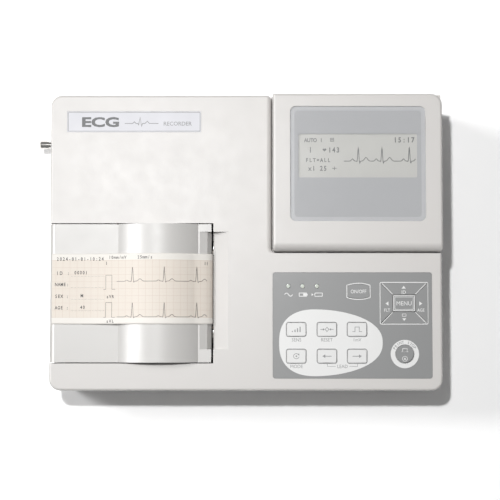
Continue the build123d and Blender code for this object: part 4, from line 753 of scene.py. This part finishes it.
# An outline with holes, cut by Blender's own triangle filler. A face is kept if its middle is
# inside the outline alone.
def panelWithHoles(outline, holes):
    loops = [outline] + holes
    points, edges = [], []
    for loop in loops:
        start, count = len(points), len(loop)
        points += [Vector(p) for p in loop.tolist()]
        edges += [(start + k, start + (k + 1) % count) for k in range(count)]
    found = delaunay_2d_cdt(points, edges, [], 1, 1e-5)
    spots = np.array([tuple(p) for p in found[0]])
    kept = [
        tuple(face) for face in found[2]
        if sum(within(spots[list(face)].mean(0), loop) for loop in loops) == 1
    ]
    return spots, upright(spots, kept)


# Signs under the lamps: a wave for mains, a part-filled cell, and a cell with an arrow to it.
def lampSigns(values):
    line = values["signWidth"]
    mains, cell, charge = (onPad(*place) for place in values["lampSigns"])
    x, y = mains
    t = np.linspace(0, 2 * pi, 24)
    wave = stroke(np.column_stack((x - 2.9 + 5.8 * t / (2 * pi), y + 1.1 * np.sin(t))), line)
    x, y = cell
    battery = [stroke(roundBox(x, y, 5.2, 2.3, 0.2, 2), line, True),
               filled(roundBox(x + 1.3, y, 2.2, 1.6, 0.05, 1)),
               filled(roundBox(x + 3.1, y, 0.5, 1.2, 0.05, 1))]
    x, y = charge
    charging = [stroke(roundBox(x + 1.0, y, 5.2, 2.3, 0.2, 2), line, True),
                filled(roundBox(x - 2.0, y, 0.5, 1.2, 0.05, 1)),
                filled([(x - 2.6, y), (x - 3.9, y + 0.9), (x - 3.9, y - 0.9)])]
    return [wave, *battery, *charging]


# Line round the power key: two arcs as wide as the key, whose radius is the sum of the squares of
# half the width and the rise, over twice the rise.
def powerOutline(values):
    x, y = keyMiddle["on_off"]
    half, tall = keySize["on_off"] / 2 + values["powerGap"]
    rise = values["powerRise"]
    radius = (half**2 + rise**2) / (2 * rise)
    lean = asin(half / radius)
    arc = np.linspace(lean, -lean, 16)
    top = np.column_stack((x + radius * np.sin(arc), y + tall - radius + radius * np.cos(arc)))
    return stroke(np.vstack((top, (2 * x, 2 * y) - top)), values["powerWidth"], True)


# Line round the four arrow keys.
def arrowFrame(values):
    low, high = keyBox["down"][0], keyBox["up"][1]
    x, y = ((low + high) / 2)[:2]
    width, height = (high - low)[:2] + 2 * values["arrowGap"]
    return stroke(roundBox(x, y, width, height, 0.9), values["arrowWidth"], True)


# Printing on the overlay: the white field with its holes, the frames, labels and signs, and the
# round key's ring with its words set along a circle.
def makeKeypadPrint(values):
    top = padHigh[2]
    above = top + inkValues["depth"]
    gap, frameGap = values["keyGap"], values["keyGap"] + values["frameGap"]
    holes, labels = [], []
    for name in fieldKeys:
        (x, y), (width, height) = keyMiddle[name], keySize[name]
        holes.append(roundBox(x, y, width + gap, height + gap, values["holeRadius"]))
        frame = roundBox(x, y, width + frameGap, height + frameGap, values["holeRadius"] + 0.15)
        labels.append(stroke(frame, values["frameWidth"], True))
    layInk("padField", panelWithHoles(eggOutline(values), holes), top, "inkWhite", "housing")

    for text, right, down in values["labels"]:
        labels.append(wording(text, *onPad(right, down), values["labelHeight"], wide=0.92))
    start, turn = values["leadRows"]
    for outer, inner in values["leadLines"]:
        path = [onPad(outer, start), onPad(outer, turn), onPad(inner, turn)]
        labels.append(stroke(path, values["leadWidth"]))
    layInk("padLabels", together(*labels), above, "inkGrey", "housing")

    x, y = onPad(*values["ring"])
    outer, inner = (ringOutline(x, y, radius, 72) for radius in values["ringRadii"])
    signs = [*lampSigns(values), powerOutline(values), arrowFrame(values), between(outer, inner)]
    layInk("padSigns", together(*signs), top, "inkWhite", "housing")

    letters = []
    for word, lean in values["ringWords"]:
        for k, letter in enumerate(word):
            angle = lean - (k - (len(word) - 1) / 2) * values["ringPitch"]
            shape = wording(letter, 0, values["ringBaseline"], values["ringHeight"], bold=0.012)
            letters.append(turned(shape, angle, x, y))
    layInk("ringWords", together(*letters), above, "inkGrey", "housing")


# Printing on a key's own top, which goes down with the key.
def layKeyInk(name, ink, *shapes):
    layInk("legend_" + name, together(*shapes), keyBox[name][1][2], ink, "key_" + name + "_cap")


# Points given from the middle of a key.
def around(name, points):
    return np.asarray(points, float) + keyMiddle[name]


# Key signs. Widths are those of their lines, and places are on the keypad.
signValues = {
    "line": 0.42,
    "barWidth": 0.75, "barPitch": 1.8,
    "arrowLine": 0.5,
    "menuHeight": 3.1, "powerHeight": 2.7,
    "up": (92.70, 10.58), "upWord": (92.70, 15.17),
    "left": (80.99, 22.05), "leftWord": (80.84, 27.75),
    "right": (104.57, 22.05), "rightWord": (104.81, 27.75),
    "downSign": (92.94, 30.20), "down": (92.94, 33.29),
    "seam": 0.5,
    "sheet": (93.26, 54.89), "stop": (93.26, 60.98),
    "thin": 0.35,
}


# Signs of the six keys on the white field: rising bars, a centred mark, a square pulse, a turning
# arrow, and arrows to the left and right.
def makeFieldLegends(values):
    line = values["line"]
    x, y = keyMiddle["sens"]
    bars = []
    for k in range(4):
        height = 0.8 + 1.0 * k
        middle = x - 2.7 + values["barPitch"] * k
        bars.append(filled(roundBox(middle, y - 1.9 + height / 2, values["barWidth"], height,
                                    0.1, 1)))
    layKeyInk("sens", "inkGrey", *bars)

    mark = [stroke(around("reset", [(1.3, 0), (0, 1.5), (-1.3, 0), (0, -1.5)]), line, True)]
    for side in (-1, 1):
        tip = [(side * 1.6, 0), (side * 2.8, side * -0.85), (side * 2.8, side * 0.85)]
        mark.append(stroke(around("reset", [(side * 2.4, 0), (side * 4.6, 0)]), line))
        mark.append(filled(around("reset", tip)))
    layKeyInk("reset", "inkGrey", *mark)

    pulse = [(3.4, -1.6), (1.5, -1.6), (1.5, 1.7), (-1.5, 1.7), (-1.5, -1.6), (-3.4, -1.6)]
    layKeyInk("calibrate", "inkGrey", stroke(around("calibrate", pulse), line))

    turn = np.linspace(0.25 * pi, 1.9 * pi, 22)
    curl = np.column_stack((2.0 * np.cos(turn), 1.8 * np.sin(turn)))
    layKeyInk("mode", "inkGrey", stroke(around("mode", curl), line),
              filled(around("mode", [(1.1, 0.9), (2.2, 0.5), (1.9, 2.1)])),
              filled(ringOutline(*keyMiddle["mode"], 0.6, 16)))

    for name, side in (("lead_back", -1), ("lead_next", 1)):
        shaft = around(name, [(-side * 3.2, 0), (side * 1.4, 0)])
        tip = around(name, [(side * 3.3, 0), (side * 1.3, side * 1.25), (side * 1.3, -side * 1.25)])
        layKeyInk(name, "inkGrey", stroke(shaft, values["arrowLine"]), filled(tip))


# Power and menu keys: a word each, and two rounded boxes along the menu key's edge.
def makeWordLegends(values):
    x, y = keyMiddle["on_off"]
    power = wording("ON/OFF", x, y - 1.35, values["powerHeight"], bold=0.006, wide=0.83)
    layKeyInk("on_off", "inkWhite", power)
    x, y = keyMiddle["menu"]
    width, height = keySize["menu"]
    layKeyInk("menu", "inkWhite",
              wording("MENU", x, y - 1.55, values["menuHeight"], wide=0.95),
              stroke(roundBox(x, y, width - 0.9, height - 0.9, 0.3, 2), 0.5, True),
              stroke(roundBox(x, y, width - 2.8, height - 2.8, 0.3, 2), 0.3, True))


# Two lines on the up or down key, from near the frame's corners to the menu key's.
def seams(values, side):
    x, y = keyMiddle["menu"]
    far = keyBox["up"][1][:2] - (x, y)
    near = keySize["menu"] / 2
    return [
        stroke([(x + mirror * (far[0] - 0.95), y + side * (far[1] - 0.4)),
                (x + mirror * (near[0] + 0.15), y + side * (near[1] + 0.6))], values["seam"])
        for mirror in (1, -1)
    ]


# Arrow keys: a triangle and a word or a small box each, and the seams between the keys.
def makeArrowLegends(values):
    x, y = onPad(*values["up"])
    tip = filled([(x + 1.5, y - 0.9), (x, y + 1.1), (x - 1.5, y - 0.9)])
    word = wording("ID", *onPad(*values["upWord"]), 2.5, bold=0.006)
    layKeyInk("up", "inkWhite", tip, word, *seams(values, 1))

    for name, text, side, wide in (("left", "FLT", -1, 0.9), ("right", "AGE", 1, 0.85)):
        x, y = onPad(*values[name])
        back = x - side * 0.9
        tip = filled([(back, y - side * 1.5), (x + side * 1.2, y), (back, y + side * 1.5)])
        word = wording(text, *onPad(*values[name + "Word"]), 2.3, bold=0.006, wide=wide)
        layKeyInk(name, "inkWhite", tip, word)

    sign = stroke(roundBox(*onPad(*values["downSign"]), 2.6, 1.7, 0.1, 1), 0.3, True)
    x, y = onPad(*values["down"])
    tip = filled([(x - 1.4, y + 0.8), (x, y - 1.0), (x + 1.4, y + 0.8)])
    layKeyInk("down", "inkWhite", sign, tip, *seams(values, -1))


# Round key: a sheet over a line, and a triangle in a ring.
def makeRoundLegend(values):
    x, y = onPad(*values["sheet"])
    sheet = stroke(roundBox(x, y, 3.2, 2.2, 0.2, 2), values["thin"], True)
    feed = stroke([(x + 2.4, y - 1.2), (x - 2.4, y - 1.2)], values["thin"])
    x, y = onPad(*values["stop"])
    ring = between(ringOutline(x, y, 1.9, 32), ringOutline(x, y, 1.55, 32))
    mark = filled([(x + 0.85, y - 0.6), (x, y + 0.95), (x - 0.85, y - 0.6)])
    layKeyInk("print_stop", "inkWhite", sheet, feed, ring, mark)


makeKeypadPrint(padValues)
makeFieldLegends(signValues)
makeWordLegends(signValues)
makeArrowLegends(signValues)
makeRoundLegend(signValues)
print("keypad ready")


# Recording paper.
stripLow, stripHigh = boxOf("paper_strip")
stripValues = {
    "front": stripLow[1], "rear": stripHigh[1],
    "edgeGap": 0.05,  # how far each long edge lies inside the paper's width
    "bulgeMiddle": -55.15, "bulgeRadius": 49.15, "bulgeCentre": 19.85,
    "gap": 0.24,  # between the cover and the strip
    "slotX": -16.75, "slotFoot": 50.1, "slotTop": 53.5,
    "nearTurn": 30.0, "farTurn": 17.5,  # where the strip meets and leaves the bulge, in degrees
    "landX": -113.0, "endX": -130.4,
    "deck": 60.0, "thickness": 0.08, "pitch": 0.6, "rows": 41,
    "lift": 0.35,  # how far the long edges rise
    "flatEnd": (-128.0, 14.0), "flatSlot": (-28.0, 20.0),  # where they are flat, and their fade
}


# A cubic from start to end with the given directions there: the sum of both ends and both
# directions by Hermite's four weights, each direction as long as the chord.
def hermite(start, end, leaving, arriving, steps):
    start, end = np.array(start, float), np.array(end, float)
    pull = np.linalg.norm(end - start)
    t = np.linspace(0, 1, steps)[:, None]
    return ((2 * t**3 - 3 * t**2 + 1) * start + (t**3 - 2 * t**2 + t) * pull * np.array(leaving)
            + (3 * t**2 - 2 * t**3) * end + (t**3 - t**2) * pull * np.array(arriving))


# Side view of the strip, evenly spaced: up out of the slot, a cubic to the bulge's arc, the arc,
# a cubic down to the cover's flat, and straight on to the torn end. Also the run to each point.
def stripPath(values):
    radius = values["bulgeRadius"] + values["gap"]

    def onBulge(turn):
        return values["bulgeMiddle"] + radius * sin(turn), values["bulgeCentre"] + radius * cos(turn)

    near, far = radians(values["nearTurn"]), -radians(values["farTurn"])
    top = values["deck"] + values["gap"]
    pieces = [
        np.array([(values["slotX"], values["slotFoot"])]),
        hermite((values["slotX"], values["slotTop"]), onBulge(near), (0, 1),
                (-cos(near), sin(near)), 40),
        np.array([onBulge(turn) for turn in np.linspace(near, far, 60)]),
        hermite(onBulge(far), (values["landX"], top), (-cos(far), sin(far)), (-1, 0), 60),
        np.array([(values["endX"], top)]),
    ]
    path = np.vstack(pieces)
    step = np.linalg.norm(np.diff(path, axis=0), axis=1)
    path = path[np.concatenate(([True], step > 1e-6))]
    run = np.concatenate(([0], np.cumsum(np.linalg.norm(np.diff(path, axis=0), axis=1))))
    even = np.linspace(0, run[-1], int(run[-1] / values["pitch"]) + 1)
    x, z = (np.interp(even, run, path[:, k]) for k in (0, 1))
    return np.column_stack((x, z)), even


sidePath, sideRun = stripPath(stripValues)
stripWidth = stripHigh[1] - stripLow[1] - 2 * stripValues["edgeGap"]


# How far the long edges rise: the lift times a fade along the strip and the fourth power of the
# place across it, which is -1 at one edge and 1 at the other.
def edgeRise(along, share):
    end, endFade = stripValues["flatEnd"]
    slot, slotFade = stripValues["flatSlot"]
    fade = np.minimum(np.clip((along - end) / endFade, 0, 1),
                      np.clip((slot - along) / slotFade, 0, 1))
    return fade * stripValues["lift"] * (2 * share - 1) ** 4


# Pink-grey chart paper: fine lines each millimetre and stronger ones each five. A line is where
# the distance to the nearest multiple of its spacing, in the UV map's millimetres along and across
# the strip, is under half its width.
paperValues = {
    "margin": (4.6, 45.4), "line": linear(214, 188, 172),
    "fine": (1.0, 0.16, 0.22), "bold": (5.0, 0.26, 0.5),  # spacing, width and strength
}


def paperMaterial(values):
    material = bpy.data.materials.new("chartPaper")
    material.use_nodes = True
    tree = material.node_tree
    link = tree.links.new
    shader = tree.nodes["Principled BSDF"]
    shader.inputs["Roughness"].default_value = 0.6
    shader.inputs["Specular IOR Level"].default_value = 0.3
    uv = addNode(tree, "ShaderNodeUVMap", uv_map="run")
    split = addNode(tree, "ShaderNodeSeparateXYZ")
    link(uv.outputs["UV"], split.inputs["Vector"])
    along, across = split.outputs["X"], split.outputs["Y"]

    def maths(operation, first, second):
        step = addNode(tree, "ShaderNodeMath", operation=operation)
        for socket, value in zip(step.inputs, (first, second)):
            if isinstance(value, (int, float)):
                socket.default_value = value
            else:
                link(value, socket)
        return step.outputs[0]

    def grid(spacing, width, strength):
        lines = [maths("LESS_THAN", maths("PINGPONG", source, spacing / 2), width / 2)
                 for source in (along, across)]
        return maths("MULTIPLY", maths("MAXIMUM", *lines), strength)

    left, right = values["margin"]
    inside = maths("MULTIPLY", maths("GREATER_THAN", across, left),
                   maths("LESS_THAN", across, right))
    amount = maths("MAXIMUM", grid(*values["fine"]), grid(*values["bold"]))
    amount = maths("MULTIPLY", amount, inside)

    def mixed(share, first, second, **settings):
        mix = addNode(tree, "ShaderNodeMix", data_type="RGBA", **settings)
        for k, value in ((0, share), (6, first), (7, second)):
            if isinstance(value, (float, tuple)):
                mix.inputs[k].default_value = value
            else:
                link(value, mix.inputs[k])
        return mix.outputs[2]

    place = addNode(tree, "ShaderNodeTexCoord").outputs["Object"]
    drift = addNode(tree, "ShaderNodeTexNoise", in_Scale=45.0)
    link(place, drift.inputs["Vector"])
    shade = mixed(drift.outputs["Fac"], linear(253, 249, 244), linear(255, 253, 249))
    margin = mixed(inside, (1.0, 0.99, 0.97, 1.0), (0.95, 0.90, 0.84, 1.0))
    plain = mixed(1.0, margin, shade, blend_type="MULTIPLY")
    link(mixed(amount, plain, values["line"]), shader.inputs["Base Color"])

    fibre = addNode(tree, "ShaderNodeTexNoise", in_Scale=5000.0)
    bump = addNode(tree, "ShaderNodeBump", in_Distance=0.01 * mm, in_Strength=0.5)
    link(place, fibre.inputs["Vector"])
    link(fibre.outputs["Fac"], bump.inputs["Height"])
    link(bump.outputs["Normal"], shader.inputs["Normal"])
    return material


# The paper strip: its side path swept across its width, rising a little at its long edges.
def makeStrip(values):
    rows = np.linspace(0, 1, values["rows"])
    count, across = len(sidePath), len(rows)
    points = np.zeros((count, across, 3))
    points[:, :, 0] = sidePath[:, 0:1]
    points[:, :, 1] = values["front"] + values["edgeGap"] + stripWidth * rows
    points[:, :, 2] = sidePath[:, 1:2] + edgeRise(sidePath[:, 0:1], rows[None, :])
    index = np.arange(count * across).reshape(count, across)
    quads = np.stack((index[:-1, :-1], index[:-1, 1:], index[1:, 1:], index[1:, :-1]), -1)
    faces = quads.reshape(-1, 4).tolist()
    material = paperMaterial(paperValues)
    piece = putMesh("paperStrip", points.reshape(-1, 3), faces, material, "cover", True)

    mesh = piece.data
    layer = mesh.uv_layers.new(name="run")
    corner = np.zeros(len(mesh.loops), int)
    mesh.loops.foreach_get("vertex_index", corner)
    flat = np.column_stack((np.repeat(sideRun, across), np.tile(stripWidth * rows, count)))
    layer.data.foreach_set("uv", flat[corner].ravel())
    facesUp = mesh.polygons[len(mesh.polygons) // 2].normal[2] > 0
    thicken(piece, values["thickness"], facesUp)
    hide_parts("paper_strip")
    print("strip", round(sideRun[-1], 1), "mm long")


makeStrip(stripValues)


# Printing on the strip. A place is how far right of the torn end and how far in front of the rear
# edge it is. A word has its place, its height and its pitch.
printValues = {
    "words": (("2024-01-01-10:24", 3.02, 5.00, 2.5, 2.13), ("10mm/mV", 40.22, 3.83, 2.3, 1.85),
              ("25mm/s", 60.87, 3.83, 2.3, 1.85), ("I", 37.88, 8.01, 2.3, 1.9),
              ("II", 107.69, 8.01, 2.3, 1.5), ("ID :", 2.60, 15.03, 2.5, 2.6),
              ("00001", 15.64, 14.61, 2.4, 1.95), ("NAME:", 2.10, 22.97, 2.4, 2.0),
              ("SEX :", 2.10, 31.33, 2.4, 2.0), ("M", 20.32, 30.91, 2.4, 2.0),
              ("AGE :", 2.10, 39.44, 2.4, 2.0), ("40", 19.91, 39.11, 2.4, 1.9),
              ("aVR", 38.72, 31.58, 2.3, 1.9), ("aVL", 38.72, 48.89, 2.3, 1.9)),
    "dotRows": (16.03, 23.97, 32.33, 40.44),
    "dotStart": 13.8, "dotPitch": 1.0032, "dots": 24, "dotRadius": 0.16,
    "steps": ((25.40, 15.36), (45.12, 34.67)),  # foot and head of each calibration step
    "stepPlaces": (36.71, 38.38, 42.73, 45.07),
    "stepWidth": 0.22,
    "traceRows": (19.79, 44.87),
    "traceStart": 46.24, "traceEnd": 109.94,
    "beats": (57.53, 80.10, 102.67),
    "waves": (0.8, -0.5, 10.2, -1.0, 1.7),
    "tracePitch": 0.2,
    "traceWidth": 0.34,
    "inkDepth": 0.012,
}


def alongStrip(right, down):
    return stripValues["endX"] + right, stripValues["rear"] - down


# Lays a flat shape on the strip's upper face: its height is read off the side path at its x, and
# the rise of the long edges is added.
def layOnStrip(name, shape, ink, depth):
    flat, faces = shape
    x, z = sidePath[::-1].T
    order = np.argsort(x)
    share = (flat[:, 1] - stripValues["front"] - stripValues["edgeGap"]) / stripWidth
    height = np.interp(flat[:, 0], x[order], z[order]) + edgeRise(flat[:, 0], share)
    points = np.column_stack((flat, height + stripValues["thickness"] + depth))
    thicken(putMesh(name, points, faces, made[ink], "cover"), depth)


# Words of the record, dotted lines to write on, and the calibration steps.
def makeStripWords(values):
    shapes = [typed(text, *alongStrip(right, down), height, pitch, 0.02)
              for text, right, down, height, pitch in values["words"]]
    for row in values["dotRows"]:
        for k in range(values["dots"]):
            x, y = alongStrip(values["dotStart"] + k * values["dotPitch"], row)
            shapes.append(filled(ringOutline(x, y, values["dotRadius"], 8)))
    first, rise, fall, last = values["stepPlaces"]
    for foot, head in values["steps"]:
        pulse = [(last, foot), (fall, foot), (fall, head), (rise, head), (rise, foot), (first, foot)]
        shapes.append(stroke([alongStrip(*place) for place in pulse], values["stepWidth"]))
    layOnStrip("stripWords", together(*shapes), "printInk", values["inkDepth"])


# The two heart traces.
def makeStripTraces(values):
    start, end = (alongStrip(values[name], 0)[0] for name in ("traceStart", "traceEnd"))
    beats = [alongStrip(right, 0)[0] for right in values["beats"]]
    shapes = []
    for row in values["traceRows"]:
        level = alongStrip(0, row)[1]
        trace = beatLine(beats, level, start, end, values["waves"], values["tracePitch"])
        shapes.append(stroke(trace, values["traceWidth"]))
    layOnStrip("stripTraces", together(*shapes), "traceInk", values["inkDepth"])


makeStripWords(printValues)
makeStripTraces(printValues)
print("paper ready")
